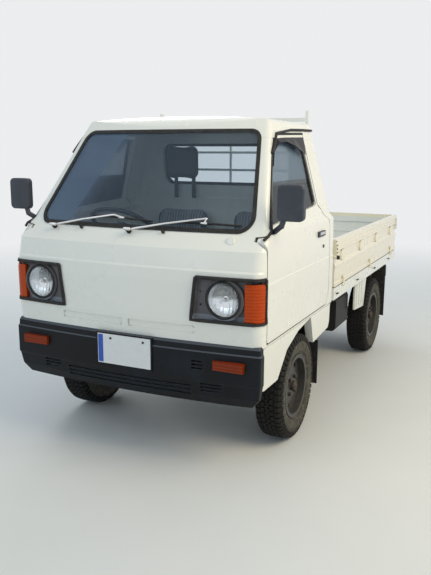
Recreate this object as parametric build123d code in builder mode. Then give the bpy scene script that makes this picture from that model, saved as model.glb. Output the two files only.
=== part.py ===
from build123d import *
import math
import os

os.makedirs("parts", exist_ok=True)

# A small cab-over truck with a drop-side bed, right-hand drive.  Millimetres, +Z up.
# The front faces -Y and +X is the vehicle's left side.  The origin is on the ground, at
# the middle of the overall box.  Heights are above the ground.  A "y behind the front
# axle" is turned into the row frame by at(y).

# Overall sizes
overall_length = 3195
body_width = 1395
wheelbase = 1850
front_overhang = 649.5          # number plate's face to the front axle
track = 1220                    # between the tyres' middle planes

front_end = -overall_length / 2
tail_end = overall_length / 2
front_axle_y = front_end + front_overhang
rear_axle_y = front_axle_y + wheelbase
half_width = body_width / 2
wheel_x = track / 2


def at(y):
    """Row-frame y of a place that lies y behind the front axle."""
    return front_axle_y + y


# Clearances
seam = 0.3                      # between pieces that are seated on each other
panel_gap = 6                   # between a door or gate and what it closes against

# Wheels
tyre_radius = 284
tyre_width = 146
tread_width = 116
bead_radius = 157
rim_lip = 16                    # how far the rim's edge stands out over the bead
rim_width = 124
rim_wall = 5
disc_out = 34                   # wheel disc's face, outboard of the middle plane
spindle_radius = 14
drum_radius = 84

# Cab
wall = 42                       # door, pillar and wall thickness
back_corner = 40
cab_back = 585                  # rear wall, behind the front axle
cab_low = 425                   # lower edge of the cab's sides
roof_split = 1588               # roof panel's lower edge
roof_top = 1704
roof_bend = 6000                # radius of the roof's crown
roof_shoulder = 505             # where the crown rounds over to the sides
sill_top = 649

# Cross sections of the cab's outside, from the lower edge up.
# height, drawn in at each side, nose at the centre, how far the nose's corners lie back,
# rounding of those corners, rear
cab_sections = [
    (cab_low, 12, -600, 40, 55, cab_back),
    (630, 8, -620, 40, 55, cab_back),
    (643, 0, -626, 40, 55, cab_back),
    (746, 0, -638, 40, 55, cab_back),
    (928, 0, -642, 42, 55, cab_back),
    (933, 3, -642, 42, 55, cab_back - 2),
    (985, 3, -640, 44, 55, cab_back - 2),
    (994, 3, -634, 44, 55, cab_back - 2),
    (1080, 4, -620, 50, 52, cab_back - 2),
    (1146, 6, -560, 66, 42, cab_back - 3),
    (1174, 33, -538, 66, 32, cab_back - 4),
    (1636, 147, -191, 44, 32, cab_back - 53),
    (1740, 172, -113, 44, 32, cab_back - 64),
]

# Two sunk panels across the nose above the bumper
emboss_in, emboss_out = 18, 373
emboss_low, emboss_high = 690, 727
emboss_deep = 3
emboss_corner = 8

# Roof: shallow ribs along it, and the drip rails over the doors
roof_ribs = [-366, -122, 122, 366]
rib_half, rib_rise = 46, 4
drip_proud, drip_high = 8, 9
drip_line = [(-205, 1528), (-119, 1615), (134, 1641), (354, 1647), (520, 1649)]

# Door outline, y behind the front axle and height
door_front = -527
door_back = 470
door_low = sill_top + panel_gap
door_outline = [
    (door_front, door_low), (door_front, 1128), (-440, 1162), (-190, 1524), (-106, 1602),
    (330, 1616), (350, 1228), (400, 1203), (door_back, 1120), (door_back, 720), (418, door_low),
]
door_corner = 18
door_in, cowl_clear, cowl_top = 640, 14, 1165       # a door stays outside this as far up as the cowl
window_outline = [
    (-409, 1181), (-166, 1531), (-94, 1586), (310, 1594), (330, 1233),
]
window_corner = 16
glass_thick = 5
arch_outline = [
    (-352, cab_low - 20), (-345, 420), (-214, 546), (-44, 604), (168, 630),
    (238, 470), (241, cab_low - 20),
]

# Door hinges: a pin in a pocket of the door's front edge, and an arm from the cab round it
hinge_in = 25                   # hinge line inboard of the cab's side
hinge_back = 24                 # hinge line behind the door's front edge
door_pin, door_eye = 5.5, 9
pocket_out, pocket_back = 12, 12
pocket_gap = 5                  # above and below each arm
hinge_heights = [(740, 790), (960, 1010)]
arm_in, arm_thick = 30, 7.5
swing_clear = 40                # pillar edge cut round the hinge line
pin_fit = 0.05                  # radial clearance of a pin in its eye

# Windscreen and rear window, outer outline of the rubber, seen from the front
screen_low, screen_low_x = 1152, 618
screen_high, screen_high_x = 1632, 510
screen_corner = 66
rear_window_x = 426
rear_window_low, rear_window_high = 1318, 1572
rear_window_corner = 60
rubber_width = 18
rubber_thick = 12
rubber_proud = 4

# Lamps
bezel_in_high, bezel_in_low = 379, 352
bezel_high, bezel_low = 966, 751
bezel_frame = 13
bezel_corner = 10
bezel_end_y = -548
lamp_x, lamp_z, lamp_radius = 516, 860, 86
lamp_y, lamp_depth = -632, 48
lamp_ring = 8
screw_x, screw_heights, screw_radius = 398, (892, 829), 6
marker_in = 619
bumper_lamp_in, bumper_lamp_out = 475, 624
bumper_lamp_low, bumper_lamp_high = 532, 575

# Front bumper sections: height, drawn in at each side, face at the centre
bumper_sections = [
    (352, 48, -612), (396, 12, -630), (456, 4, -640), (466, 0, -645), (606, 0, -645), (612, 4, -640),
    (638, 5, -638), (650, 9, -628),
]
bumper_back = -558
bumper_bow = 42
bumper_wall = 30

# Frame
rail_in, rail_out = 300, 360
rail_depth = 70
rail_low_front = 400
rail_low_rear = 510
rail_front, rail_back = -528, 2480
kick_start, kick_end = 360, 610

# Cab floor and seats
sheet = 12
floor_low, floor_mid, floor_seat = rail_low_front + rail_depth, 648, 760
foot_back, seat_front = -335, -85
floor_half = 640
kingpin_x = 565

# Bed
bed_front = cab_back + 15
bed_floor_top = 714
bed_plate = 14
bed_inner = 662
gate_thick = 30
gate_low, gate_high = 720, 1011
hinge_out = 7                   # gate hinge line outboard of the gate's face
hinge_drop = 8                  # gate hinge line below the gate's lower edge
hinge_pin = 3.5
hinge_eye = 6.5
strap_half, eye_wide = 12, 18   # strap on the gate, and each of the two eyes beside it
strap_high = 52
sill_low = 640
beam_low = rail_low_rear + rail_depth
head_wall_thick = 30

# Guard frame behind the rear window
guard_x = 500
guard_top = 1761
guard_bar = 18
guard_cross = (1699, 1721)
guard_rod = 8


def outline_face(points, radius=0):
    """Closed face from a list of corner points, with rounded corners."""
    Polygon(*points, align=None)
    if radius:
        fillet(vertices(), radius)


def side_prism(points, x_low, x_high, radius=0, grow=0):
    """Prism along X from an outline of (y behind the front axle, height)."""
    with BuildPart() as prism:
        with BuildSketch(Plane.YZ.offset(x_low)):
            outline_face([(at(y), z) for y, z in points], radius)
            if grow:
                offset(amount=grow, kind=Kind.INTERSECTION)
        extrude(amount=x_high - x_low)
    return prism.part


def front_prism(points, y_low, y_high, radius=0, grow=0):
    """Prism along Y from an outline of (x, height); y_low and y_high are behind the axle."""
    with BuildPart() as prism:
        with BuildSketch(Plane.XZ.offset(-at(y_low))):
            outline_face(points, radius)
            if grow:
                offset(amount=grow, kind=Kind.INTERSECTION)
        extrude(amount=-(y_high - y_low))
    return prism.part


def block(x_low, x_high, y_low, y_high, z_low, z_high):
    """Plain box between two corners; y_low and y_high are behind the front axle."""
    with BuildPart() as box:
        with BuildSketch(Plane.XY.offset(z_low)):
            with Locations(((x_low + x_high) / 2, at((y_low + y_high) / 2))):
                Rectangle(x_high - x_low, y_high - y_low)
        extrude(amount=z_high - z_low)
    return box.part


def rod(start, end, radius):
    """Round bar between two points (x, y behind the front axle, height)."""
    a = Vector(start[0], at(start[1]), start[2])
    b = Vector(end[0], at(end[1]), end[2])
    with BuildPart() as bar:
        with BuildSketch(Plane(origin=a, z_dir=b - a)):
            Circle(radius)
        extrude(amount=(b - a).length)
    return bar.part


def crown(drop):
    """Space under the roof's skin, lowered by drop."""
    reach = 800
    top = roof_top - drop
    edge = top - (roof_bend - math.sqrt(roof_bend ** 2 - roof_shoulder ** 2))
    with BuildPart() as space:
        with BuildSketch(Plane.XZ.offset(-at(-800))):
            with BuildLine():
                ThreePointArc((-roof_shoulder, edge), (0, top), (roof_shoulder, edge))
                for side in (-1, 1):
                    end = side * (roof_shoulder + 41)
                    ThreePointArc((side * roof_shoulder, edge), (side * (roof_shoulder + 28), edge - 11),
                                  (end, edge - 31))
                    Polyline((end, edge - 31), (side * reach, 1250), (side * reach, 300), (0, 300))
            make_face()
        extrude(amount=-1600)
        with BuildSketch(Plane.YZ.offset(-reach), mode=Mode.PRIVATE) as profile:
            with BuildLine():
                Polyline((at(-760), 300), (at(-760), 1300), (at(-203 + drop), 1632 - drop))
                ThreePointArc((at(-203 + drop), 1632 - drop), (at(-124 + drop), 1680 - drop),
                              (at(10 + drop), top))
                Line((at(10 + drop), top), (at(450 - drop), top))
                ThreePointArc((at(450 - drop), top), (at(512 - drop), 1690 - drop),
                              (at(545 - drop), 1652 - drop))
                Polyline((at(545 - drop), 1652 - drop), (at(720), 1300), (at(720), 300),
                         (at(-760), 300))
            make_face()
        extrude(profile.sketch, amount=2 * reach, mode=Mode.INTERSECT)
    return space.part


forms = {}


def cab_form(inset):
    """Solid inside the cab's skin, drawn in by inset, made once for each depth."""
    if inset not in forms:
        forms[inset] = cab_solid(inset)
    return forms[inset]


def cab_solid(inset):
    """Loft through the cab's sections, trimmed by the roof's crown."""
    with BuildPart() as form:
        for z, side_in, nose, bow, corner, back in cab_sections:
            x = half_width - side_in - inset
            with BuildSketch(Plane.XY.offset(z)):
                with BuildLine():
                    ThreePointArc((-x, at(nose + bow + inset)), (0, at(nose + inset)),
                                  (x, at(nose + bow + inset)))
                    Polyline((x, at(nose + bow + inset)), (x, at(back - inset)),
                             (-x, at(back - inset)), (-x, at(nose + bow + inset)))
                make_face()
                fillet(vertices().group_by(Axis.Y)[0], corner - min(inset, 15))
                fillet(vertices().group_by(Axis.Y)[-1], back_corner - min(inset, 15))
        loft(ruled=True)
        add(crown(inset), mode=Mode.INTERSECT)
    return form.part


def cab_layer(outer, inner):
    """Layer of the cab between two depths below its skin."""
    with BuildPart() as layer:
        add(cab_form(outer))
        add(cab_form(inner), mode=Mode.SUBTRACT)
    return layer.part


def finish_piece(piece, label):
    """Name a piece and write its STEP file."""
    piece.part.label = label
    export_step(piece.part, "parts/" + label + ".step")


shell = cab_layer(0, wall)

# Outlines seen from the front
screen_points = [(-screen_low_x, screen_low), (screen_low_x, screen_low),
                 (screen_high_x, screen_high), (-screen_high_x, screen_high)]
rear_window_points = [(-rear_window_x, rear_window_low), (rear_window_x, rear_window_low),
                      (rear_window_x, rear_window_high), (-rear_window_x, rear_window_high)]
screen_hole = front_prism(screen_points, -760, 60, screen_corner)
rear_window_hole = front_prism(rear_window_points, 400, 700, rear_window_corner)


def bezel_points(side, grow):
    """Outline of a headlamp surround on one side, grown by grow."""
    inner_low = bezel_in_low - grow
    inner_high = bezel_in_high - grow
    return [(side * inner_low, bezel_low - grow), (side * (half_width + 20), bezel_low - grow),
            (side * (half_width + 20), bezel_high + grow), (side * inner_high, bezel_high + grow)]


def both_doors_hole():
    """Door openings through both sides of the cab, short of the cowl's corners."""
    with BuildPart() as hole:
        add(side_prism(door_outline, -half_width - 20, half_width + 20, door_corner, panel_gap))
        add(block(cowl_clear - door_in, door_in - cowl_clear, -700, 0, 300, cowl_top), mode=Mode.SUBTRACT)
    return hole.part


doors_hole = both_doors_hole()
arches = side_prism(arch_outline, -half_width - 20, half_width + 20)


def hinge_line(side):
    """Place of a door's hinge line seen from above, +1 on the left."""
    return side * (half_width - hinge_in), door_front + hinge_back


def hinge_post(side, low, high, radius):
    """Upright round bar on a door's hinge line."""
    x, y = hinge_line(side)
    return rod((x, y, low), (x, y, high), radius)


# Two sunk panels across the nose
with BuildPart() as nose_pressings:
    for side in (-1, 1):
        x_low, x_high = sorted((side * emboss_in, side * emboss_out))
        outline = [(x_low, emboss_low), (x_high, emboss_low), (x_high, emboss_high), (x_low, emboss_high)]
        add(front_prism(outline, -700, -560, emboss_corner))
    add(cab_form(emboss_deep), mode=Mode.SUBTRACT)

# Front panel: nose, cowl and windscreen pillars
with BuildPart() as cab_front_panel:
    add(shell)
    add(block(-800, 800, -700, 0, 300, roof_split - seam), mode=Mode.INTERSECT)
    add(doors_hole, mode=Mode.SUBTRACT)
    add(screen_hole, mode=Mode.SUBTRACT)
    add(nose_pressings.part, mode=Mode.SUBTRACT)
    add(block(-800, 800, door_front - panel_gap, 0, 300, sill_top), mode=Mode.SUBTRACT)
    for side in (-1, 1):
        add(front_prism(bezel_points(side, seam), -700, bezel_end_y, bezel_corner), mode=Mode.SUBTRACT)
        add(hinge_post(side, sill_top, door_outline[1][1] + panel_gap, swing_clear), mode=Mode.SUBTRACT)
finish_piece(cab_front_panel, "cab_front_panel")

# Roof: header, crown with its ribs, side rails and drip rails
drip_outline = drip_line + [(y, z + drip_high) for y, z in reversed(drip_line)]
with BuildPart() as drip_rails:
    add(side_prism(drip_outline, -half_width, half_width))
    add(cab_layer(-drip_proud, 1), mode=Mode.INTERSECT)

with BuildPart() as cab_roof:
    add(shell)
    for x in roof_ribs:
        add(block(x - rib_half, x + rib_half, 30, 440, roof_split, roof_top))
    add(cab_form(-rib_rise), mode=Mode.INTERSECT)
    add(cab_form(wall), mode=Mode.SUBTRACT)
    add(block(-800, 800, -700, 700, roof_split, 1800), mode=Mode.INTERSECT)
    add(doors_hole, mode=Mode.SUBTRACT)
    add(screen_hole, mode=Mode.SUBTRACT)
    add(drip_rails.part)
    add(block(-800, 800, -700, 700, 300, roof_split), mode=Mode.SUBTRACT)
finish_piece(cab_roof, "cab_roof")

# Rear panel: rear wall with two ribs across its inside, and the pillars behind the doors
wall_ribs = [1228, 1268]
wall_rib_high, wall_rib_deep = 12, 5
with BuildPart() as cab_rear_panel:
    add(cab_form(0))
    add(cab_form(wall + wall_rib_deep), mode=Mode.SUBTRACT)
    add(cab_form(wall), mode=Mode.SUBTRACT)
    for z in wall_ribs:
        add(block(-560, 560, 450, cab_back - 20, z, z + wall_rib_high))
    add(cab_form(wall + wall_rib_deep), mode=Mode.SUBTRACT)
    add(block(-800, 800, 200, 700, sill_top, roof_split - seam), mode=Mode.INTERSECT)
    add(doors_hole, mode=Mode.SUBTRACT)
    add(rear_window_hole, mode=Mode.SUBTRACT)
finish_piece(cab_rear_panel, "cab_rear_panel")

# Sills under the doors, cut by the front wheel arches
sill_side = [
    (door_front - panel_gap + seam, cab_low), (door_front - panel_gap + seam, sill_top - seam),
    (cab_back - 1, sill_top - seam), (cab_back - 1, 600), (cab_back - 30, 530),
    (cab_back - 60, 488), (200, 466), (200, cab_low - 4), (-300, cab_low - 4),
]
with BuildPart() as cab_sills:
    add(shell)
    add(side_prism(sill_side, -half_width - 20, half_width + 20), mode=Mode.INTERSECT)
    add(arches, mode=Mode.SUBTRACT)
    add(block(-600, 600, -700, 700, 300, 800), mode=Mode.SUBTRACT)
finish_piece(cab_sills, "cab_sills")

# Glass and rubbers of the windscreen and the rear window
screen_windows = [
    (screen_points, -760, 60, screen_corner), (rear_window_points, 400, 700, rear_window_corner),
]


def framed(points, y_low, y_high, radius, outer, inner, layer):
    """Ring, or pane where inner is None, that follows the cab's skin in one layer."""
    with BuildPart() as ring:
        add(front_prism(points, y_low, y_high, radius, -outer))
        if inner is not None:
            add(front_prism(points, y_low, y_high, radius, -inner), mode=Mode.SUBTRACT)
        add(layer, mode=Mode.INTERSECT)
    return ring.part


rubber_layer = cab_layer(-rubber_proud, rubber_thick)
with BuildPart() as window_seals:
    for points, y_low, y_high, radius in screen_windows:
        add(framed(points, y_low, y_high, radius, seam, rubber_width, rubber_layer))
finish_piece(window_seals, "window_seals")

pane_layer = cab_layer(2, 2 + glass_thick)
with BuildPart() as cab_glass:
    for points, y_low, y_high, radius in screen_windows:
        add(framed(points, y_low, y_high, radius, rubber_width + seam, None, pane_layer))
finish_piece(cab_glass, "cab_glass")

# Headlamp surrounds: a raised frame with a sunk panel, bored for the round lamp
bezel_layer = cab_layer(-6, 18)
panel_layer = cab_layer(18, 30)


def bezel(side):
    """One headlamp surround, +1 on the left."""
    with BuildPart() as surround:
        add(front_prism(bezel_points(side, 0), -700, bezel_end_y - seam, bezel_corner))
        add(front_prism(bezel_points(side, -bezel_frame), -700, -500, bezel_corner / 2), mode=Mode.SUBTRACT)
        add(bezel_layer, mode=Mode.INTERSECT)
    with BuildPart() as backing:
        add(front_prism(bezel_points(side, 0), -700, bezel_end_y - seam, bezel_corner))
        add(panel_layer, mode=Mode.INTERSECT)
        add(surround.part)
        add(rod((side * lamp_x, lamp_y + 14, lamp_z), (side * lamp_x, lamp_y + lamp_depth, lamp_z),
                lamp_radius + lamp_ring))
        add(rod((side * lamp_x, -700, lamp_z), (side * lamp_x, -500, lamp_z), lamp_radius + seam),
            mode=Mode.SUBTRACT)
        for z in screw_heights:
            add(rod((side * screw_x, -700, z), (side * screw_x, -500, z), screw_radius), mode=Mode.SUBTRACT)
    return backing.part


with BuildPart() as headlamp_bezels:
    for side in (-1, 1):
        add(bezel(side))
finish_piece(headlamp_bezels, "headlamp_bezels")

# Round headlamps with a domed glass
with BuildPart() as headlamps:
    for side in (-1, 1):
        with BuildSketch(Plane(origin=(side * lamp_x, at(lamp_y), lamp_z), x_dir=(1, 0, 0), z_dir=(0, 0, 1))):
            with BuildLine():
                ThreePointArc((0, 0), (lamp_radius * 0.55, 6), (lamp_radius * 0.9, 18))
                Polyline((lamp_radius * 0.9, 18), (lamp_radius, 18), (lamp_radius, 40),
                         (lamp_radius * 0.7, lamp_depth), (0, lamp_depth), (0, 0))
            make_face()
        revolve(axis=Axis((side * lamp_x, at(0), lamp_z), (0, 1, 0)))
finish_piece(headlamps, "headlamps")

# Amber marker lamps: one that wraps each corner beside the headlamp, one in the bumper
marker_layer = cab_layer(-3, 18 - seam)
marker_high = bezel_high - bezel_frame - 14


def marker(side):
    """Amber lens at the outer end of one headlamp surround."""
    low = bezel_low + bezel_frame + seam
    outline = [(side * marker_in, low), (side * (half_width + 20), low),
               (side * (half_width + 20), marker_high), (side * marker_in, marker_high)]
    with BuildPart() as lens:
        add(front_prism(outline, -700, bezel_end_y - seam))
        add(marker_layer, mode=Mode.INTERSECT)
    return lens.part


bumper_lamp_front, bumper_lamp_back = -641, -614
with BuildPart() as amber_lamps:
    for side in (-1, 1):
        add(marker(side))
        x_low, x_high = sorted((side * bumper_lamp_in, side * bumper_lamp_out))
        add(block(x_low, x_high, bumper_lamp_front, bumper_lamp_back, bumper_lamp_low, bumper_lamp_high))
finish_piece(amber_lamps, "amber_lamps")


def bumper_form(inset, spread):
    """Solid behind the bumper's face, drawn in by inset and taller and deeper by spread."""
    with BuildPart() as form:
        for z, side_in, nose in bumper_sections:
            x = half_width - side_in - inset
            if z == bumper_sections[0][0]:
                z -= spread
            if z == bumper_sections[-1][0]:
                z += spread
            corner_y = at(nose + bumper_bow + inset)
            back_y = at(bumper_back + 3 * spread)
            with BuildSketch(Plane.XY.offset(z)):
                with BuildLine():
                    ThreePointArc((-x, corner_y), (0, at(nose + inset)), (x, corner_y))
                    Polyline((x, corner_y), (x, back_y), (-x, back_y), (-x, corner_y))
                make_face()
                fillet(vertices().group_by(Axis.Y)[0], 10)
        loft(ruled=True)
    return form.part


# Blank number plates, the front one in a black holder on the bumper
plate_half, plate_high = 150, 150
front_plate_low = 489
rear_plate_low = 482
holder_rim = 8
bumper_face = -645
tail = tail_end - front_axle_y - hinge_out - hinge_eye
with BuildPart() as number_plates:
    add(block(-plate_half, plate_half, -front_overhang, bumper_face - seam, front_plate_low,
              front_plate_low + plate_high))
    add(block(-plate_half, plate_half, tail - 22, tail - 18, rear_plate_low, rear_plate_low + plate_high))
finish_piece(number_plates, "number_plates")

# Front bumper with its grille of long and short slots and the plate's holder
# x from, x to, lowest slot's height, rows, from row to row
grille_slots = [(-352, 352, 387, 3, 21), (405, 508, 412, 3, 17), (-508, -405, 412, 3, 17),
                (362, 416, 520, 3, 17)]
slot_high = 10
with BuildPart() as front_bumper:
    add(bumper_form(0, 0))
    add(block(-plate_half - holder_rim, plate_half + holder_rim, bumper_face - 3, bumper_face + 10,
              front_plate_low - holder_rim, front_plate_low + plate_high + holder_rim))
    add(bumper_form(bumper_wall, 20), mode=Mode.SUBTRACT)
    add(block(-plate_half - seam, plate_half + seam, -700, bumper_face, front_plate_low - seam,
              front_plate_low + plate_high + seam), mode=Mode.SUBTRACT)
    add(cab_form(-seam), mode=Mode.SUBTRACT)
    for x_low, x_high, low, rows, pitch in grille_slots:
        for row in range(rows):
            z = low + pitch * row
            add(block(x_low, x_high, -700, -560, z, z + slot_high), mode=Mode.SUBTRACT)
    for side in (-1, 1):
        x_low, x_high = sorted((side * (bumper_lamp_in - seam), side * (bumper_lamp_out + seam)))
        add(block(x_low, x_high, -700, bumper_lamp_back + seam, bumper_lamp_low - seam,
                  bumper_lamp_high + seam), mode=Mode.SUBTRACT)
finish_piece(front_bumper, "front_bumper")

# Wipers, resting low on the glass: pivot's outer end, arm's end, the two ends of the blade
wiper_places = [
    ((-470, -554, 1146), (-112, -533, 1209), (-250, -515, 1204), (103, -535, 1190)),
    ((-5, -584, 1148), (384, -507, 1210), (191, -531, 1191), (548, -492, 1185)),
]
with BuildPart() as wipers:
    for pivot, arm_end, blade_start, blade_end in wiper_places:
        x, y, z = pivot
        add(rod(pivot, (x, y + 40, z - 24), 11))
        add(rod((x, y + 6, z - 2), arm_end, 5))
        middle = tuple((a + b) / 2 for a, b in zip(blade_start, blade_end))
        add(rod(arm_end, middle, 5))
        add(rod(blade_start, blade_end, 5))
    add(cab_form(-seam), mode=Mode.SUBTRACT)
finish_piece(wipers, "wipers")

# Frame: two rails that step up behind the cab, and the members between them
rail_outline = [
    (rail_front, rail_low_front), (kick_start + 10, rail_low_front), (kick_end + 10, rail_low_rear),
    (rail_back, rail_low_rear), (rail_back, rail_low_rear + rail_depth),
    (kick_end, rail_low_rear + rail_depth), (kick_start, rail_low_front + rail_depth),
    (rail_front, rail_low_front + rail_depth),
]
with BuildPart() as frame_rails:
    for x_low, x_high in ((-rail_out, -rail_in), (rail_in, rail_out)):
        add(side_prism(rail_outline, x_low, x_high))
finish_piece(frame_rails, "frame_rails")

engine_front, engine_back = 660, 940
member_wide = 50
rear_axle = wheelbase
member_places = [
    (rail_front + 10, rail_low_front), (260, rail_low_front), (engine_front - member_wide, rail_low_rear),
    (engine_back, rail_low_rear), (1400, rail_low_rear), (2060, rail_low_rear), (2420, rail_low_rear),
]
with BuildPart() as frame_crossmembers:
    for y, low in member_places:
        add(block(-rail_in, rail_in, y, y + member_wide, low + 8, low + rail_depth - 8))
finish_piece(frame_crossmembers, "frame_crossmembers")

# Tow eyes: a pierced plate under each end of the frame
tow_x, tow_radius, tow_plate = 330, 10, 8
tow_front, tow_rear = -560, 2500
with BuildPart() as tow_eyes:
    for side, y, root, low in ((1, tow_front, rail_front + 60, rail_low_front), (-1, tow_rear, rail_back - 60,
                                                                                 rail_low_rear)):
        y_low, y_high = sorted((y, root))
        add(block(side * tow_x - 24, side * tow_x + 24, y_low, y_high, low - tow_plate - seam, low - seam))
        add(rod((side * tow_x, y, low - tow_plate - seam), (side * tow_x, y, low - seam), 24))
        add(rod((side * tow_x, y, low - 30), (side * tow_x, y, low + 30), tow_radius), mode=Mode.SUBTRACT)
finish_piece(tow_eyes, "tow_eyes")

# Cab floor: toe board, foot well, wheel houses and the seat box, bent from one sheet
floor_line = [
    (-596, 700), (-543, floor_low), (foot_back, floor_low), (foot_back, floor_mid),
    (seat_front, floor_mid), (seat_front, floor_seat), (560, floor_seat),
    (560, floor_seat + sheet), (seat_front - sheet, floor_seat + sheet),
    (seat_front - sheet, floor_mid + sheet), (foot_back - sheet, floor_mid + sheet),
    (foot_back - sheet, floor_low + sheet), (-533, floor_low + sheet), (-583, 700),
]
inner_room = cab_form(wall + seam)
with BuildPart() as cab_floor:
    add(side_prism(floor_line, -floor_half, floor_half))
    add(inner_room, mode=Mode.INTERSECT)
finish_piece(cab_floor, "cab_floor")

# Wheel houses behind the front wheels, and the ribbed guards ahead of the rear wheels
house_back = 325
house_sheet = 6
house_side = [
    (foot_back, rail_low_front), (house_back, rail_low_front), (house_back, floor_seat),
    (seat_front, floor_seat), (seat_front, floor_mid), (foot_back, floor_mid),
]
guard_high = 684
guard_outline = [(1300, guard_high), (1300, 432), (1574, 408), (1638, 640), (1638, guard_high)]
guard_in, guard_out = bed_inner - 12, bed_inner
guard_ribs = [1345, 1420, 1495]
guard_rib_half, guard_rib_deep = 14, 6
with BuildPart() as wheel_houses:
    for side in (-1, 1):
        x_low, x_high = sorted((side * rail_out, side * (rail_out + house_sheet)))
        add(side_prism(house_side, x_low, x_high))
        x_low, x_high = sorted((side * rail_out, side * floor_half))
        add(block(x_low, x_high, house_back, house_back + house_sheet, 430, floor_seat))
        x_low, x_high = sorted((side * guard_in, side * guard_out))
        add(side_prism(guard_outline, x_low, x_high))
        x_low, x_high = sorted((side * (guard_out - guard_rib_deep), side * (guard_out + 1)))
        for y in guard_ribs:
            add(block(x_low, x_high, y - guard_rib_half, y + guard_rib_half, 446, guard_high - 24),
                mode=Mode.SUBTRACT)
finish_piece(wheel_houses, "wheel_houses")

# Rubber mud flaps
flap_in, flap_out, flap_low = 540, 690, 200
rear_flap_y = 2206
with BuildPart() as mud_flaps:
    for side in (-1, 1):
        x_low, x_high = sorted((side * flap_in, side * flap_out))
        add(block(x_low, x_high, house_back - house_sheet, house_back, flap_low, 460))
        add(block(x_low, x_high, rear_flap_y, rear_flap_y + house_sheet, flap_low, beam_low))
        x_low, x_high = sorted((side * flap_in, side * floor_half))
        add(block(x_low, x_high, house_back - house_sheet, house_back, 460, 520))
finish_piece(mud_flaps, "mud_flaps")

# Dashboard across the cab under the windscreen
dash_outline = [(-640, 1122), (-330, 1122), (-300, 1100), (-312, 975), (-392, 905), (-640, 905)]
column_angle = 35
wheel_centre = (-262, -215, 1120)
column_axis = (0, math.sin(math.radians(column_angle)), math.cos(math.radians(column_angle)))
column_radius = 21
column_top = 34                 # column's upper end, below the wheel's centre


def on_column(distance):
    """Point on the steering column, down from the wheel's centre by distance."""
    return tuple(c - distance * a for c, a in zip(wheel_centre, column_axis))


dash_half = 620                 # leaves room for the doors to swing
with BuildPart() as dashboard:
    add(side_prism(dash_outline, -dash_half, dash_half, 12))
    add(inner_room, mode=Mode.INTERSECT)
    add(rod(on_column(60), on_column(600), column_radius + seam), mode=Mode.SUBTRACT)
finish_piece(dashboard, "dashboard")

with BuildPart() as steering_column:
    add(rod(on_column(column_top), on_column(700), column_radius))
    add(side_prism([(-582 + seam, 700), (-532 + seam, floor_low + sheet), (-100, floor_low + sheet),
                    (-100, 1300), (-582, 1300)], -400, 0), mode=Mode.INTERSECT)
    add(inner_room, mode=Mode.INTERSECT)
finish_piece(steering_column, "steering_column")

# Steering wheel: rim, hub and two spokes
wheel_rim_radius, wheel_grip = 182, 12
with BuildPart() as steering_wheel:
    hub = Plane(origin=(wheel_centre[0], at(wheel_centre[1]), wheel_centre[2]), x_dir=(1, 0, 0),
                z_dir=column_axis)
    across = Plane(origin=hub.origin, x_dir=hub.x_dir, z_dir=hub.y_dir)
    with BuildSketch(across):
        with Locations((wheel_rim_radius, 0)):
            Circle(wheel_grip)
    revolve(axis=Axis(hub.origin, hub.z_dir))
    with BuildSketch(hub.offset(seam - column_top)):
        Circle(42)
    extrude(amount=column_top - seam + 2)
    with BuildSketch(hub.offset(-16)):
        Rectangle(2 * wheel_rim_radius, 36)
    extrude(amount=12)
finish_piece(steering_wheel, "steering_wheel")

# Seats, driver's on the right, and the headrest on the rear wall
seat_x, seat_half = 265, 210
seat_base = floor_seat + sheet + seam
cushion_outline = [(-70, seat_base), (430, seat_base), (430, 868), (-20, 892), (-78, 868)]
back_low = 871 + seam
back_outline = [(372, back_low), (448, back_low - 4), (520, 1185), (498, 1204), (455, 1200), (432, 1176)]
with BuildPart() as seat_cushions:
    for side in (-1, 1):
        add(side_prism(cushion_outline, side * seat_x - seat_half, side * seat_x + seat_half, 14))
finish_piece(seat_cushions, "seat_cushions")

with BuildPart() as seat_backs:
    for side in (-1, 1):
        add(side_prism(back_outline, side * seat_x - seat_half + 10, side * seat_x + seat_half - 10, 9))
finish_piece(seat_backs, "seat_backs")

head_half = 122
head_low, head_high = 1345, 1568
head_front, head_back = 440, 500
with BuildPart() as headrest:
    add(side_prism([(head_front, head_low), (head_back, head_low), (head_back, head_high),
                    (head_front + 12, head_high)], -seat_x - head_half, -seat_x + head_half, 16))
    for leg in (-60, 60):
        add(block(-seat_x + leg - 12, -seat_x + leg + 12, 462, 476, 1250, head_low + 20))
        add(block(-seat_x + leg - 12, -seat_x + leg + 12, 462, 600, 1250, 1264))
    add(inner_room, mode=Mode.INTERSECT)
finish_piece(headrest, "headrest")


def door(side):
    """Door panel with its window frame and two hinge pins in their pockets, +1 on the left."""
    x_low, x_high = sorted((side * 450, side * (half_width + 20)))
    pin_x, pin_y = hinge_line(side)
    pocket_in, pocket_side = sorted((side * 500, pin_x + side * pocket_out))
    with BuildPart() as panel:
        add(side_prism(door_outline, x_low, x_high, door_corner))
        add(side_prism(window_outline, x_low, x_high, window_corner), mode=Mode.SUBTRACT)
        add(block(-door_in, door_in, -700, 0, 300, cowl_top), mode=Mode.SUBTRACT)
        add(shell, mode=Mode.INTERSECT)
        for low, high in hinge_heights:
            add(block(pocket_in, pocket_side, -700, pin_y + pocket_back, low, high), mode=Mode.SUBTRACT)
            add(hinge_post(side, low - 2, high + 2, door_pin))
    return panel


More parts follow.
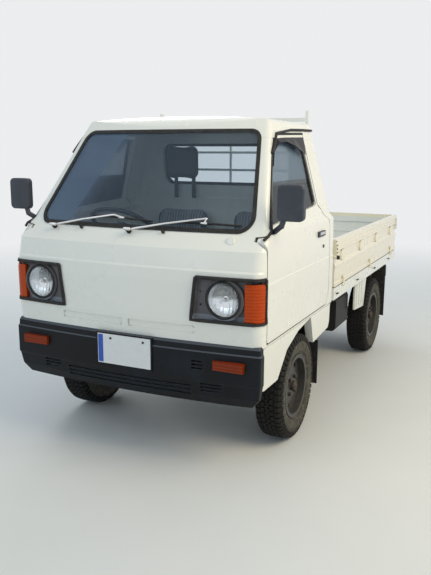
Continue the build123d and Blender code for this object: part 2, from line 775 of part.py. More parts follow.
def hinge_arm(side, low, high):
    """Arm from the front panel's inside to an eye round a door's hinge pin."""
    x, y = hinge_line(side)
    leg_low, leg_high = sorted((x - side * arm_in, x - side * (arm_in - arm_thick)))
    reach_low, reach_high = sorted((x - side * arm_in, x))
    foot_low, foot_high = sorted((x - side * arm_in, x))
    with BuildPart() as seat:
        add(block(leg_low, leg_high, y - 90, y, low, high))
        add(block(foot_low, foot_high, y - 90, y - swing_clear, low, high))
        add(inner_room, mode=Mode.INTERSECT)
    with BuildPart() as arm:
        add(block(leg_low, leg_high, y - 20, y + arm_thick / 2, low, high))
        add(block(reach_low, reach_high, y - arm_thick / 2, y + arm_thick / 2, low, high))
        add(hinge_post(side, low, high, door_eye))
        add(seat.part)
        add(hinge_post(side, low - 1, high + 1, door_pin + pin_fit), mode=Mode.SUBTRACT)
    return arm.part


with BuildPart() as door_hinge_arms:
    for side in (-1, 1):
        for low, high in hinge_heights:
            add(hinge_arm(side, low + pocket_gap, high - pocket_gap))
finish_piece(door_hinge_arms, "door_hinge_arms")


def door_glass(side):
    """Pane in one door's window frame."""
    x_low, x_high = sorted((side * 450, side * (half_width + 20)))
    with BuildPart() as pane:
        add(side_prism(window_outline, x_low, x_high, window_corner, -seam))
        add(door_pane_layer, mode=Mode.INTERSECT)
    return pane


handle_low, handle_high = 1064, 1093
handle_front, handle_back = 232, 352
lock_y, lock_z, lock_radius = 345, 1003, 9
mirror_low, mirror_high = 1212, 1376
mirror_corner, mirror_round = 24, 10
mirror_in, mirror_out, mirror_front, mirror_back = 705, 831, -462, -426
stalk_radius = 13


def mirror(side):
    """Mirror swung out to the side on a bent stalk, +1 on the left."""
    x_low, x_high = sorted((side * mirror_in, side * mirror_out))
    y = (mirror_front + mirror_back) / 2
    bend_x, bend_z = side * (mirror_in + 17), mirror_low - 27
    with BuildPart() as head:
        add(block(x_low, x_high, mirror_front, mirror_back, mirror_low, mirror_high))
        fillet(edges().filter_by(Axis.Y), mirror_corner)
        fillet(edges().group_by(Axis.Y)[0], mirror_round)
        add(rod((bend_x + side * 14, y, mirror_low + 14), (bend_x, y, bend_z - 3), stalk_radius))
        add(rod((bend_x, y, bend_z + 3), (side * (half_width - 30), -410, 1148), stalk_radius))
    return head.part


def door_fittings(side):
    """Mirror on its stalk, the outside handle and the lock."""
    with BuildPart() as fittings:
        add(mirror(side))
        x_low, x_high = sorted((side * (half_width - 12), side * (half_width + 6)))
        add(block(x_low, x_high, handle_front, handle_back, handle_low, handle_high))
        add(rod((side * (half_width - 12), lock_y, lock_z), (side * (half_width + 2), lock_y, lock_z),
                lock_radius))
        add(door_panels[side].part, mode=Mode.SUBTRACT)
    return fittings


door_pane_layer = cab_layer(14, 14 + glass_thick)
door_panels = {1: door(1), -1: door(-1)}
for side, name in ((1, "left"), (-1, "right")):
    finish_piece(door_panels[side], "door_" + name)
    finish_piece(door_glass(side), "door_" + name + "_glass")
    finish_piece(door_fittings(side), "door_" + name + "_fittings")

# Hinges of the drop gates, placed along each gate's lower edge
side_hinge_places = [800, 1555, 2310]
tail_hinge_places = [-440, 0, 440]


def along(plane, low, high, radius):
    """Round bar on a plane's normal through its origin, from low to high along it."""
    with BuildPart() as bar:
        with BuildSketch(plane.offset(low)):
            Circle(radius)
        extrude(amount=high - low)
    return bar.part


def plate(plane, outline, low, high):
    """Plate square to a plane's normal, from low to high along it."""
    with BuildPart() as piece:
        with BuildSketch(plane.offset(low)):
            Polygon(*outline, align=None)
        extrude(amount=high - low)
    return piece.part


def gate_hinges(side):
    """Planes on the hinge line: +1 left gate, -1 right gate, 0 tailgate; x points outboard."""
    z = gate_low - hinge_drop
    if side:
        return [Plane(origin=(side * (half_width + hinge_out), at(y), z), x_dir=(side, 0, 0),
                      z_dir=(0, -side, 0)) for y in side_hinge_places]
    return [Plane(origin=(x, at(tail + hinge_out), z), x_dir=(0, 1, 0), z_dir=(1, 0, 0))
            for x in tail_hinge_places]


def gate_strap(hinge):
    """Strap on the gate's outer face with the hinge pin through its lower end."""
    reach = strap_half + 1 + eye_wide
    outline = [(hinge_pin, 0), (2, strap_high), (-hinge_out - 1, strap_high), (-hinge_out - 1, hinge_drop + 4),
               (-hinge_pin, hinge_drop - 1), (-hinge_pin, 0)]
    with BuildPart() as strap:
        add(along(hinge, -reach, reach, hinge_pin))
        add(plate(hinge, outline, -strap_half, strap_half))
    return strap.part


def sill_eyes(hinge):
    """Two eyes on the bed's edge that carry one hinge pin."""
    outline = [(0, -hinge_eye), (0, 0), (-hinge_out - 1, -2), (-hinge_out - 1, -24)]
    with BuildPart() as eyes:
        for low in (-strap_half - 1 - eye_wide, strap_half + 1):
            add(along(hinge, low, low + eye_wide, hinge_eye))
            add(plate(hinge, outline, low, low + eye_wide))
        add(along(hinge, -2 * strap_half - eye_wide, 2 * strap_half + eye_wide, hinge_pin + pin_fit),
            mode=Mode.SUBTRACT)
    return eyes.part


# Bed: the floor plate, the cross beams under it and the sills round it
bed_back = tail - gate_thick
beam_places = [680, 1090, 1480, 1850, 2180, 2440]
beam_wide = 60
beam_half = 640
rear_sill = 40
plate_bracket = (100, 22)       # half width, and how far it stands in from the tail
with BuildPart() as bed_floor:
    add(block(-bed_inner, bed_inner, bed_front + head_wall_thick + seam, bed_back, bed_floor_top - bed_plate,
              bed_floor_top))
finish_piece(bed_floor, "bed_floor")

with BuildPart() as bed_beams:
    for y in beam_places[:-1]:
        add(block(-beam_half, beam_half, y, y + beam_wide, beam_low, bed_floor_top - bed_plate))
    add(block(-beam_half, beam_half, beam_places[-1], bed_back - rear_sill, beam_low,
              bed_floor_top - bed_plate))
finish_piece(bed_beams, "bed_beams")

with BuildPart() as bed_sills:
    for x_low, x_high in ((-half_width, -bed_inner), (bed_inner, half_width)):
        add(block(x_low, x_high, bed_front, tail, sill_low, bed_floor_top))
    add(block(-bed_inner, bed_inner, bed_back - rear_sill, tail, sill_low, bed_floor_top - bed_plate))
    add(block(-bed_inner, bed_inner, bed_back, tail, sill_low, bed_floor_top))
    half, back_in = plate_bracket
    add(block(-half, half, tail - back_in - rear_sill, tail - back_in, rear_plate_low + 10, sill_low))
    for side in (-1, 0, 1):
        for hinge in gate_hinges(side):
            add(sill_eyes(hinge))
finish_piece(bed_sills, "bed_sills")

# Rope hooks along the bed's sills
hook_places = [660, 1182, 1716, 2238]
hook_z, hook_half, hook_wire, hook_out = 674, 17, 4, 8
with BuildPart() as rope_hooks:
    for side in (-1, 1):
        x = side * (half_width + hook_out)
        for y in hook_places:
            add(rod((x, y - hook_half, hook_z), (x, y + hook_half, hook_z), hook_wire))
            add(rod((side * (half_width + seam), y, hook_z), (x, y, hook_z), hook_wire))
finish_piece(rope_hooks, "rope_hooks")

# Front wall of the bed, standing before the floor's edge between the sills
head_ribs = 3
with BuildPart() as bed_headboard:
    add(block(-bed_inner, bed_inner, bed_front, bed_front + head_wall_thick, sill_low, gate_high))
    for row in range(head_ribs):
        z = bed_floor_top + 60 + 78 * row
        add(block(-bed_inner + 60, bed_inner - 60, bed_front + 22, bed_front + head_wall_thick + 1, z, z + 40),
            mode=Mode.SUBTRACT)
finish_piece(bed_headboard, "bed_headboard")

guard_rows = (1240, 1411, 1519)
with BuildPart() as guard_frame:
    y_low, y_high = bed_front + 6, bed_front + 6 + guard_bar
    cross_low, cross_high = guard_cross
    for side in (-1, 1):
        x_low, x_high = sorted((side * guard_x, side * (guard_x - guard_bar)))
        add(block(x_low, x_high, y_low, y_high, gate_high, guard_top))
    add(block(-guard_x, guard_x, y_low, y_high, cross_low, cross_high))
    middle = (y_low + y_high) / 2
    for z in guard_rows:
        add(rod((-guard_x + 5, middle, z), (guard_x - 5, middle, z), guard_rod))
    add(rod((0, middle, guard_rows[0]), (0, middle, cross_low + 4), guard_rod))
finish_piece(guard_frame, "guard_frame")

# Drop gates: a side gate on each side and the tailgate between them
# Section of a gate, depth behind its outer face and height, up the outside and down the inside
gate_section = [
    (0, gate_low), (0, 741), (4, 744), (4, 833), (0, 836), (0, 852), (10, 872), (10, 932), (0, 936),
    (0, 948), (3, 950), (3, 955), (0, 957), (0, 972), (3, 974), (3, 979), (0, 981), (0, gate_high),
    (gate_thick, gate_high), (gate_thick, 940), (20, 934), (20, 872), (26, 868), (26, 850), (20, 846),
    (20, 752), (gate_thick, 746), (gate_thick, gate_low),
]
pressing_places = [796, 1290, 1785, 2320]
pressing_foot, pressing_head, pressing_round = 60, 46, 30
pressing_low, pressing_high = 866, 934
latch_z, latch_radius, latch_high = 902, 11, 80
latch_bar, latch_out = 6, 7


def gate_latch(side, y):
    """Knob and bolt of a latch at one end of a side gate."""
    face = side * half_width
    x_low, x_high = sorted((face - side * 11, face + side * latch_out))
    with BuildPart() as latch:
        add(rod((face - side * 11, y, latch_z), (face + side * latch_out, y, latch_z), latch_radius))
        add(block(x_low, x_high, y - latch_bar, y + latch_bar, latch_z, latch_z + latch_high))
    return latch.part


def side_gate(side):
    """Side gate with its grooved top rail and arched pressings, +1 on the left."""
    face = side * half_width
    gate_front, gate_end = bed_front + panel_gap, tail - 8
    x_low, x_high = sorted((face - side * 12, face))
    with BuildPart() as gate:
        add(front_prism([(face - side * depth, z) for depth, z in gate_section], gate_front, gate_end))
        for y in pressing_places:
            add(side_prism([(y - pressing_foot, pressing_low), (y + pressing_foot, pressing_low),
                            (y + pressing_head, pressing_high), (y - pressing_head, pressing_high)],
                           x_low, x_high, pressing_round))
        for y in (gate_front + latch_radius, gate_end - latch_radius):
            add(gate_latch(side, y))
        for hinge in gate_hinges(side):
            add(gate_strap(hinge))
    return gate


finish_piece(side_gate(1), "gate_left")
finish_piece(side_gate(-1), "gate_right")

with BuildPart() as tailgate:
    add(side_prism([(tail - depth, z) for depth, z in gate_section], -bed_inner + panel_gap,
                   bed_inner - panel_gap))
    for hinge in gate_hinges(0):
        add(gate_strap(hinge))
finish_piece(tailgate, "tailgate")

# Tail lamps: a red lens on a housing that hangs from the rear beam
lamp_in, lamp_out, lamp_low, lamp_high = 480, 640, 484, 574
lens_deep = 16
with BuildPart() as tail_lamp_housings:
    for side in (-1, 1):
        x_low, x_high = sorted((side * lamp_in, side * lamp_out))
        add(block(x_low, x_high, tail - 70, tail - 64, lamp_low, beam_low))
        add(block(x_low, x_high, tail - 64, tail - 18 - lens_deep - seam, lamp_low, lamp_high))
finish_piece(tail_lamp_housings, "tail_lamp_housings")

with BuildPart() as tail_lamps:
    for side in (-1, 1):
        x_low, x_high = sorted((side * (lamp_in + 4), side * (lamp_out - 4)))
        add(block(x_low, x_high, tail - 18 - lens_deep, tail - 18, lamp_low + 4, lamp_high - 4))
finish_piece(tail_lamps, "tail_lamps")

# Engine with its gearbox, a plain block between the rails ahead of the rear axle
with BuildPart() as engine_block:
    add(block(-240, 240, engine_front, engine_back, 300, 560))
finish_piece(engine_block, "engine_block")

# Front drive: shaft from the gearbox, axle gear and the two half shafts
shaft_z = 360
with BuildPart() as front_drive:
    add(rod((0, 60, shaft_z), (0, engine_front, shaft_z), 20))
    add(rod((-60, 0, 310), (60, 0, 310), 62))
    add(block(-40, 40, 0, 80, 300, 380))
    add(rod((-496, 0, tyre_radius + 8), (496, 0, tyre_radius + 8), 13))
finish_piece(front_drive, "front_drive")

# Front suspension: arms on a beam under the rails, and the struts above the knuckles
pin_radius, pin_gap = 9, 0.3
lower_boss, upper_boss = (172, 192), (376, 396)
boss_radius = 22
strut_x, strut_radius = 495, 20
carrier_front, carrier_back = 110, 160
carrier_low, carrier_high = 222, 262
with BuildPart() as front_arms:
    for side in (-1, 1):
        with BuildSketch(Plane.XY.offset(lower_boss[0])):
            Polygon((side * rail_in, at(carrier_front - 10)), (side * rail_out, at(carrier_back)),
                    (side * kingpin_x, at(14)), (side * kingpin_x, at(-14)), align=None)
            with Locations((side * kingpin_x, at(0))):
                Circle(boss_radius)
        extrude(amount=lower_boss[1] - lower_boss[0])
        add(rod((side * kingpin_x, 0, 100), (side * kingpin_x, 0, 450), pin_radius + pin_gap),
            mode=Mode.SUBTRACT)
    add(block(-rail_out, rail_out, carrier_front, carrier_back, carrier_low, carrier_high))
    for side in (-1, 1):
        x_low, x_high = sorted((side * rail_in, side * rail_out))
        add(block(x_low, x_high, carrier_front, carrier_back - 10, lower_boss[1] + seam, rail_low_front))
finish_piece(front_arms, "front_arms")

with BuildPart() as front_struts:
    for side in (-1, 1):
        add(rod((side * strut_x, 0, upper_boss[0]), (side * strut_x, 0, floor_seat), strut_radius))
        with BuildSketch(Plane.XY.offset(upper_boss[0])):
            with Locations((side * (strut_x + kingpin_x) / 2, at(0))):
                Rectangle(kingpin_x - strut_x, 26)
            with Locations((side * kingpin_x, at(0))):
                Circle(boss_radius)
        extrude(amount=upper_boss[1] - upper_boss[0])
        add(rod((side * kingpin_x, 0, 100), (side * kingpin_x, 0, 450), pin_radius + pin_gap),
            mode=Mode.SUBTRACT)
finish_piece(front_struts, "front_struts")

# Steered knuckles, with the kingpin's two ends and the wheel spindle
spindle_end = wheel_x + disc_out - 2
backplate_x = 580
for side, name in ((1, "left"), (-1, "right")):
    with BuildPart() as knuckle:
        add(rod((side * kingpin_x, 0, lower_boss[0]), (side * kingpin_x, 0, upper_boss[1]), pin_radius))
        add(block(side * kingpin_x - 18, side * kingpin_x + 18, -26, 26, lower_boss[1] + pin_gap,
                  upper_boss[0] - pin_gap))
        add(rod((side * kingpin_x, 0, tyre_radius), (side * spindle_end, 0, tyre_radius), spindle_radius))
        add(rod((side * backplate_x, 0, tyre_radius), (side * (backplate_x + 6), 0, tyre_radius), drum_radius))
    finish_piece(knuckle, "knuckle_" + name)

# Rear axle with its back plates and spindles
with BuildPart() as rear_axle_beam:
    add(rod((-backplate_x, rear_axle, tyre_radius), (backplate_x, rear_axle, tyre_radius), 30))
    add(rod((-spindle_end, rear_axle, tyre_radius), (spindle_end, rear_axle, tyre_radius), spindle_radius))
    add(rod((-80, rear_axle, tyre_radius + 10), (80, rear_axle, tyre_radius + 10), 80))
    for side in (-1, 1):
        add(rod((side * backplate_x, rear_axle, tyre_radius), (side * (backplate_x + 6), rear_axle, tyre_radius),
                drum_radius))
        x_low, x_high = sorted((side * (rail_in + 5), side * (rail_out - 5)))
        add(block(x_low, x_high, rear_axle - 50, rear_axle + 50, tyre_radius, tyre_radius + 38))
finish_piece(rear_axle_beam, "rear_axle")

# Leaf springs under the rails, with their hangers
leaf_half, leaf_thick = 440, 22
leaf_low = tyre_radius + 38 + seam
leaf_rise = 96
with BuildPart() as leaf_springs:
    for x_low in (-rail_out + 5, rail_in + 5):
        with BuildSketch(Plane.YZ.offset(x_low)):
            with BuildLine():
                ThreePointArc((at(rear_axle - leaf_half), leaf_low + leaf_rise), (at(rear_axle), leaf_low),
                              (at(rear_axle + leaf_half), leaf_low + leaf_rise))
                Line((at(rear_axle + leaf_half), leaf_low + leaf_rise),
                     (at(rear_axle + leaf_half), leaf_low + leaf_rise + leaf_thick))
                ThreePointArc((at(rear_axle + leaf_half), leaf_low + leaf_rise + leaf_thick),
                              (at(rear_axle), leaf_low + leaf_thick),
                              (at(rear_axle - leaf_half), leaf_low + leaf_rise + leaf_thick))
                Line((at(rear_axle - leaf_half), leaf_low + leaf_rise + leaf_thick),
                     (at(rear_axle - leaf_half), leaf_low + leaf_rise))
            make_face()
        extrude(amount=50)
        for end in (-1, 1):
            y = rear_axle + end * leaf_half
            add(block(x_low, x_low + 50, y - 22, y + 22, leaf_low + leaf_rise - 10, rail_low_rear))
finish_piece(leaf_springs, "leaf_springs")

# Exhaust: pipe over the axle to a silencer behind it
silencer_y = 2270
with BuildPart() as exhaust:
    add(rod((200, engine_back, 400), (200, silencer_y, 400), 18))
    add(rod((20, silencer_y, 400), (290, silencer_y, 400), 62))
    add(rod((40, silencer_y, 400), (40, silencer_y + 200, 400), 16))
finish_piece(exhaust, "exhaust")

with BuildPart() as fuel_tank:
    add(block(rail_out, 620, 960, 1270, 350, 570))
    fillet(edges().filter_by(Axis.Y).sort_by(Axis.X)[-2:], 30)
finish_piece(fuel_tank, "fuel_tank")


def rim_profile():
    """Half section of the pressed wheel: barrel with its two lips, disc and drum."""
    half = rim_width / 2
    inner = bead_radius - rim_wall
    return [
        (-half, bead_radius + rim_lip), (-half, inner), (disc_out - 26, inner), (disc_out - 20, 128),
        (disc_out - 26, 118), (disc_out - 26, drum_radius), (-15, drum_radius), (-15, drum_radius - 6),
        (disc_out - 14, drum_radius - 6), (disc_out - 14, spindle_radius + seam),
        (disc_out, spindle_radius + seam), (disc_out, 70), (disc_out - 4, 96), (disc_out - 14, 124),
        (disc_out - 10, inner), (half, inner), (half, bead_radius + rim_lip),
        (half - rim_wall, bead_radius + rim_lip), (half - rim_wall, bead_radius),
        (-half + rim_wall, bead_radius), (-half + rim_wall, bead_radius + rim_lip),
    ]


def tyre_profile():
    """Half section of the tyre, from bead to bead over the tread."""
    half = tyre_width / 2
    tread = tread_width / 2
    bead = rim_width / 2 - rim_wall - seam
    return [
        (-bead, bead_radius + seam), (bead, bead_radius + seam), (bead, bead_radius + rim_lip + 3),
        (half, bead_radius + 52), (half, tyre_radius - 62), (tread + 4, tyre_radius - 10),
        (tread, tyre_radius - 3), (tread - 20, tyre_radius), (-tread + 20, tyre_radius),
        (-tread, tyre_radius - 3), (-tread - 4, tyre_radius - 10), (-half, tyre_radius - 62),
        (-half, bead_radius + 52), (-bead, bead_radius + rim_lip + 3),
    ]


wheel_places = [
    ("front_left", 1, 0), ("front_right", -1, 0), ("rear_left", 1, rear_axle), ("rear_right", -1, rear_axle),
]
slot_count = 8
for name, side, y in wheel_places:
    hub = Plane(origin=(side * wheel_x, at(y), tyre_radius), x_dir=(side, 0, 0), z_dir=(0, 1, 0))
    axle = Axis(hub.origin, (1, 0, 0))
    with BuildPart() as rim:
        with BuildSketch(hub):
            Polygon(*rim_profile(), align=None)
        revolve(axis=axle)
        face = Plane(origin=(side * (wheel_x + disc_out - 40), at(y), tyre_radius), x_dir=(0, 1, 0),
                     z_dir=(side, 0, 0))
        with BuildSketch(face):
            with PolarLocations(122, slot_count):
                SlotOverall(34, 18, rotation=90)
        extrude(amount=60, mode=Mode.SUBTRACT)
    finish_piece(rim, "rim_" + name)
    with BuildPart() as tyre:
        with BuildSketch(hub):
            Polygon(*tyre_profile(), align=None)
        revolve(axis=axle)
    finish_piece(tyre, "tyre_" + name)
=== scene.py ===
"""Looks, soft parts and small fittings of a small cab-over truck, built round its solids."""

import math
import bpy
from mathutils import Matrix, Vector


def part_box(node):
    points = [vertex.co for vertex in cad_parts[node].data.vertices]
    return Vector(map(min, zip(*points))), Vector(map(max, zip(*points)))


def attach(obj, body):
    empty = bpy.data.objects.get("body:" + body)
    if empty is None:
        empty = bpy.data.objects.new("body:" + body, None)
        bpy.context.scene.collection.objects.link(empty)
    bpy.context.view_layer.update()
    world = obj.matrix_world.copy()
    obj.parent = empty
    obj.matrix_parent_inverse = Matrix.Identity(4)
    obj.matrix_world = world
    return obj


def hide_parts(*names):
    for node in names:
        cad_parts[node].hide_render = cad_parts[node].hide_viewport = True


bl_info = {
    "name": "Cab-over truck dressing",
    "version": (1, 0, 0),
    "blender": (4, 5, 0),
    "location": "3D View > Sidebar > Truck",
    "description": "Dresses a small truck's solids with finishes, seats, tyres, lamps and fittings",
    "category": "Object",
}

import bmesh
import bpy
from bpy.props import FloatProperty, FloatVectorProperty, IntProperty, PointerProperty
from mathutils import Euler, Matrix, Vector
from mathutils.bvhtree import BVHTree

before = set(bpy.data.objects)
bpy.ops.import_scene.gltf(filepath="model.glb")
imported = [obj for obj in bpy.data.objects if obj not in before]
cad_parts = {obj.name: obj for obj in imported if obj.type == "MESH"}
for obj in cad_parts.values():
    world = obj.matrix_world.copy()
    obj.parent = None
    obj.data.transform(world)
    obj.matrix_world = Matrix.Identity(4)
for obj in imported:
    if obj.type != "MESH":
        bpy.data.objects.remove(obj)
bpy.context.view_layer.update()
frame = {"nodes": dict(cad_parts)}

SIDES = (("left", 1), ("right", -1))
WHEELS = ("front_left", "front_right", "rear_left", "rear_right")
AXLE_Y = -0.948                  # front axle in the shared frame
WHEELBASE = 1.850
WHEEL_X = 0.610                  # tyre's middle plane
TYRE_RADIUS = 0.284
GROOVES = ((0.010, 0.0145), (0.0345, 0.0390))    # tread grooves, each side of the tyre's middle
DISC_X = 0.644                   # outer face of the wheel disc
LAMP_X, LAMP_Z = 0.516, 0.860
SEAT_X = 0.265
SEAT_PANEL = 0.150               # half the width of a seat's striped middle
CHANNEL = 0.055                  # pitch of the channels sewn in it
PLATE_Z = 0.564                  # middle of the front number plate
GATE_END_Y = 1.550               # where the side gates end and the tailgate begins
GATE_RAIL_Z = 0.985              # lower edge of the gates' top rail
DOOR_LINE = (-0.409, 1.181, 0.243, 0.350)    # place and run, in y and z, of a door frame's black edge
ACROSS = (0.0, math.pi / 2, 0.0)             # turn that lays a cylinder across the truck
COAL = (0.012, 0.012, 0.013)     # black parts of painted panels and of the lamp surrounds
# painted shade: colour of the paint deep in seams and gaps, set by ambient occlusion
SEAM_SHADE = (0.012, 0.012, 0.012)    # deep in the seams
DUST = (0.34, 0.31, 0.25)
RUST = (0.22, 0.10, 0.045)
BACKDROP = (0.84, 0.85, 0.86)    # colour of the far floor and the sky as the camera sees them
COATS = {                        # solids of each finish
    "body_paint": ("cab_front_panel", "cab_roof", "cab_rear_panel", "cab_sills", "cab_floor",
                   "bed_headboard", "guard_frame", "bed_sills", "door_hinge_arms"),
    "door_paint": ("door_left", "door_right"),
    "arch_paint": ("wheel_houses",),
    "gate_paint": ("gate_left", "gate_right", "tailgate"),
    "bed_paint": ("bed_floor",),
    "bumper_plastic": ("front_bumper",),
    "mirror_plastic": ("door_left_fittings", "door_right_fittings"),
    "surround_plastic": ("headlamp_bezels",),
    "dark_plastic": ("dashboard", "steering_column", "steering_wheel", "tail_lamp_housings"),
    "black_rubber": ("window_seals", "mud_flaps", *("tyre_" + wheel for wheel in WHEELS)),
    "frame_black": ("frame_rails", "frame_crossmembers", "fuel_tank", "rear_axle", "leaf_springs",
                    "front_arms", "front_struts", "front_drive", "knuckle_left", "knuckle_right",
                    "tow_eyes", "bed_beams", "rope_hooks"),
    "bare_iron": ("engine_block", "exhaust"),
    "wheel_paint": tuple("rim_" + wheel for wheel in WHEELS),
    "silver_metal": ("wipers",),
    "amber_plastic": ("amber_lamps",),
    "red_plastic": ("tail_lamps",),
    "plate_white": ("number_plates",),
    "window_glass": ("cab_glass", "door_left_glass", "door_right_glass"),
    "lamp_glass": ("headlamps",),
    "seat_cloth": ("seat_cushions", "seat_backs"),
    "seat_vinyl": ("headrest",)}

surfaces = {}                    # each finish puts itself here by its name


def at(y):
    """The shared frame's y of a place that lies y metres behind the front axle."""
    return AXLE_Y + y


# ---------------------------------------------------------------- materials


def operator(operation, reflected=False):
    """What a Signal does for one Python operator: it adds that Math node."""
    def act(signal, other):
        return signal.nodes.sum(operation, *((other, signal) if reflected else (signal, other)))
    return act


class Signal:
    """Node output that can be used in a Python sum."""

    def __init__(self, nodes, socket):
        self.nodes, self.socket = nodes, socket

    __add__ = __radd__ = operator("ADD")
    __mul__ = __rmul__ = operator("MULTIPLY")
    __sub__, __rsub__ = operator("SUBTRACT"), operator("SUBTRACT", reflected=True)
    __gt__, __lt__ = operator("GREATER_THAN"), operator("LESS_THAN")


class Nodes:
    """Node tree that is written as sums of signals."""

    def __init__(self, tree):
        self.tree = tree

    def node(self, kind, sockets=None, output=0, **settings):
        """Add a node with its sockets and settings, and give one output."""
        made = self.tree.nodes.new(kind)
        for name, value in settings.items():
            setattr(made, name, value)
        for name, value in (sockets or {}).items():
            self.feed(made.inputs[name], value)
        return Signal(self, made.outputs[output])

    def feed(self, socket, value):
        """Link a signal to a socket, or set the socket's own value."""
        if isinstance(value, Signal):
            self.tree.links.new(value.socket, socket)
        elif socket.type == "RGBA":
            socket.default_value = (*value[:3], 1.0)
        else:
            socket.default_value = value

    def sum(self, operation, first, second):
        return self.node("ShaderNodeMath", {0: first, 1: second}, operation=operation)

    def clamp(self, value):
        return self.node("ShaderNodeClamp", {"Value": value})

    def seen(self):
        """1 for the rays that show the backdrop: straight, mirrored and through glass."""
        kinds = ("Is Camera Ray", "Is Glossy Ray", "Is Transmission Ray")
        camera, glossy, through = (self.node("ShaderNodeLightPath", output=kind) for kind in kinds)
        return self.clamp(camera + glossy + through)

    def show(self, factor, first, second, output="Material Output"):
        """Show a mix of two shaders."""
        both = self.node("ShaderNodeMixShader", {0: factor, 1: first, 2: second})
        self.feed(self.tree.nodes[output].inputs["Surface"], both)


class Surface(Nodes):
    """Material, with what its patterns are made from."""

    def __init__(self, name, **values):
        surfaces[name] = self
        self.material = bpy.data.materials.new(name)
        self.material.use_nodes = True
        super().__init__(self.material.node_tree)
        self.shader = self.tree.nodes["Principled BSDF"]
        self.place = self.node("ShaderNodeTexCoord", output="Object")
        self.x, self.y, self.z = (self.node("ShaderNodeSeparateXYZ", {"Vector": self.place}, axis)
                                  for axis in "XYZ")
        self.set(**values)

    def set(self, **values):
        """Set the shader's sockets; an underscore stands for a space."""
        for name, value in values.items():
            self.feed(self.shader.inputs[name.replace("_", " ")], value)
        return self

    def size(self, value):
        """A signal without its sign."""
        return self.node("ShaderNodeMath", {0: value}, operation="ABSOLUTE")

    def step(self, value, low, high):
        """0 below low, 1 above high, smooth between."""
        return self.node("ShaderNodeMapRange", {"Value": value, "From Min": low, "From Max": high},
                         interpolation_type="SMOOTHSTEP")

    def noise(self, scale, detail=3.0, rough=0.5, place=None, twist=0.0):
        return self.node("ShaderNodeTexNoise", {"Vector": place or self.place, "Scale": scale,
                                                "Detail": detail, "Roughness": rough, "Distortion": twist})

    def bands(self, scale, direction):
        """Soft ribs across one axis, 3.2 to the metre for each unit of scale."""
        return self.node("ShaderNodeTexWave", {"Vector": self.place, "Scale": scale},
                         bands_direction=direction)

    def facing(self, axis):
        """How far the surface faces along one axis of its own piece."""
        normal = self.node("ShaderNodeTexCoord", output="Normal")
        return self.node("ShaderNodeSeparateXYZ", {"Vector": normal}, axis)

    def rim(self, blend):
        """How edge-on the surface is seen, as a reflecting share."""
        return self.node("ShaderNodeLayerWeight", {"Blend": blend}, "Fresnel")

    def colour(self):
        """The signal that feeds the shader's base colour so far."""
        return Signal(self, self.shader.inputs["Base Color"].links[0].from_socket)

    def openness(self, reach):
        """0 deep in a gap no wider than reach, 1 on an open face."""
        return self.node("ShaderNodeAmbientOcclusion", {"Distance": reach}, "AO", samples=6)

    def blend(self, factor, first, second):
        """Colour between first and second."""
        return self.node("ShaderNodeMix", {"Factor": factor, 6: first, 7: second}, 2, data_type="RGBA")

    def bump(self, height, strength, distance):
        """Relief on the shader's normal."""
        sockets = {"Height": height, "Strength": strength, "Distance": distance}
        return self.set(Normal=self.node("ShaderNodeBump", sockets))

    def see_through(self, factor, tint):
        """Let light straight through, with factor as the share of the shader that shows."""
        clear = self.node("ShaderNodeBsdfTransparent", {"Color": tint})
        self.show(factor, clear, Signal(self, self.shader.outputs[0]))


def toned(shade, factor):
    """A colour made darker or paler."""
    return [min(1.0, c * factor) for c in shade]


def paint(name, shade, dust, rust=0.0, other=None, where=None, gloss=1.0):
    """Aged paint: slow shifts of tone, painted shade in the seams, dust low down and rust on worn places.

    Where the test on the surface's place holds, the other colour shows.
    """
    s = Surface(name, IOR=1.5)
    slow = s.noise(1.7, 4.0, 0.6)
    fine = s.noise(38.0, 5.0, 0.65)
    tone = s.blend(slow, toned(shade, 0.97), toned(shade, 1.02))
    if where:
        tone = s.blend(where(s), tone, s.blend(slow, toned(other, 0.90), toned(other, 1.05)))
    low = s.step(0.80 - s.z, 0.0, 0.60)
    dirt = s.clamp(low * (0.10 + fine * 0.7) * dust + (fine - 0.64) * 0.25 * dust)
    colour = s.blend(dirt, tone, DUST)
    rough = 0.60 - 0.35 * gloss + dirt * 0.4 + slow * 0.05
    if rust:
        spots = s.step(s.noise(23.0, 8.0, 0.72), 0.62, 0.70) * s.step(s.noise(4.3, 2.0), 0.50, 0.62)
        colour = s.blend(spots * rust, colour, RUST)
        rough = rough + spots * 0.4 * rust
    # painted shade: the colour turns near black where ambient occlusion finds a gap or recess within 3 cm
    seams = s.step(s.openness(0.030), 0.10, 0.42)
    s.set(Base_Color=s.blend(seams, SEAM_SHADE, colour), Roughness=rough, Coat_Roughness=0.08,
          Coat_Weight=s.clamp(0.5 * gloss - dirt) * seams)
    return s.bump(s.noise(9.0, 2.0), 0.05, 0.0008)


def plastic(name, shade, faded, grain=900.0, rough=0.5):
    """Moulded plastic with a fine grain, faded in patches."""
    s = Surface(name, IOR=1.46)
    patches = s.step(s.noise(6.0, 5.0, 0.62, twist=0.6), 0.42, 0.72)
    fine = s.noise(60.0, 4.0, 0.6)
    s.set(Base_Color=s.blend(s.clamp(patches * 0.7 + fine * 0.25 - 0.1), shade, faded),
          Roughness=rough + patches * 0.14 - fine * 0.08)
    return s.bump(s.noise(grain, 2.0), 0.25, 0.0004)


def rubber(name, shade=(0.010, 0.010, 0.011), rough=0.55, dusty=0.25, dust_shade=(0.13, 0.12, 0.10)):
    """Rubber with dust in patches."""
    s = Surface(name, IOR=1.40)
    dust = s.noise(45.0, 4.0, 0.6)
    s.set(Base_Color=s.blend(s.step(dust, 0.40, 0.80) * dusty, shade, dust_shade),
          Roughness=rough + dust * 0.15)
    return s.bump(s.noise(700.0, 2.0), 0.15, 0.0004)


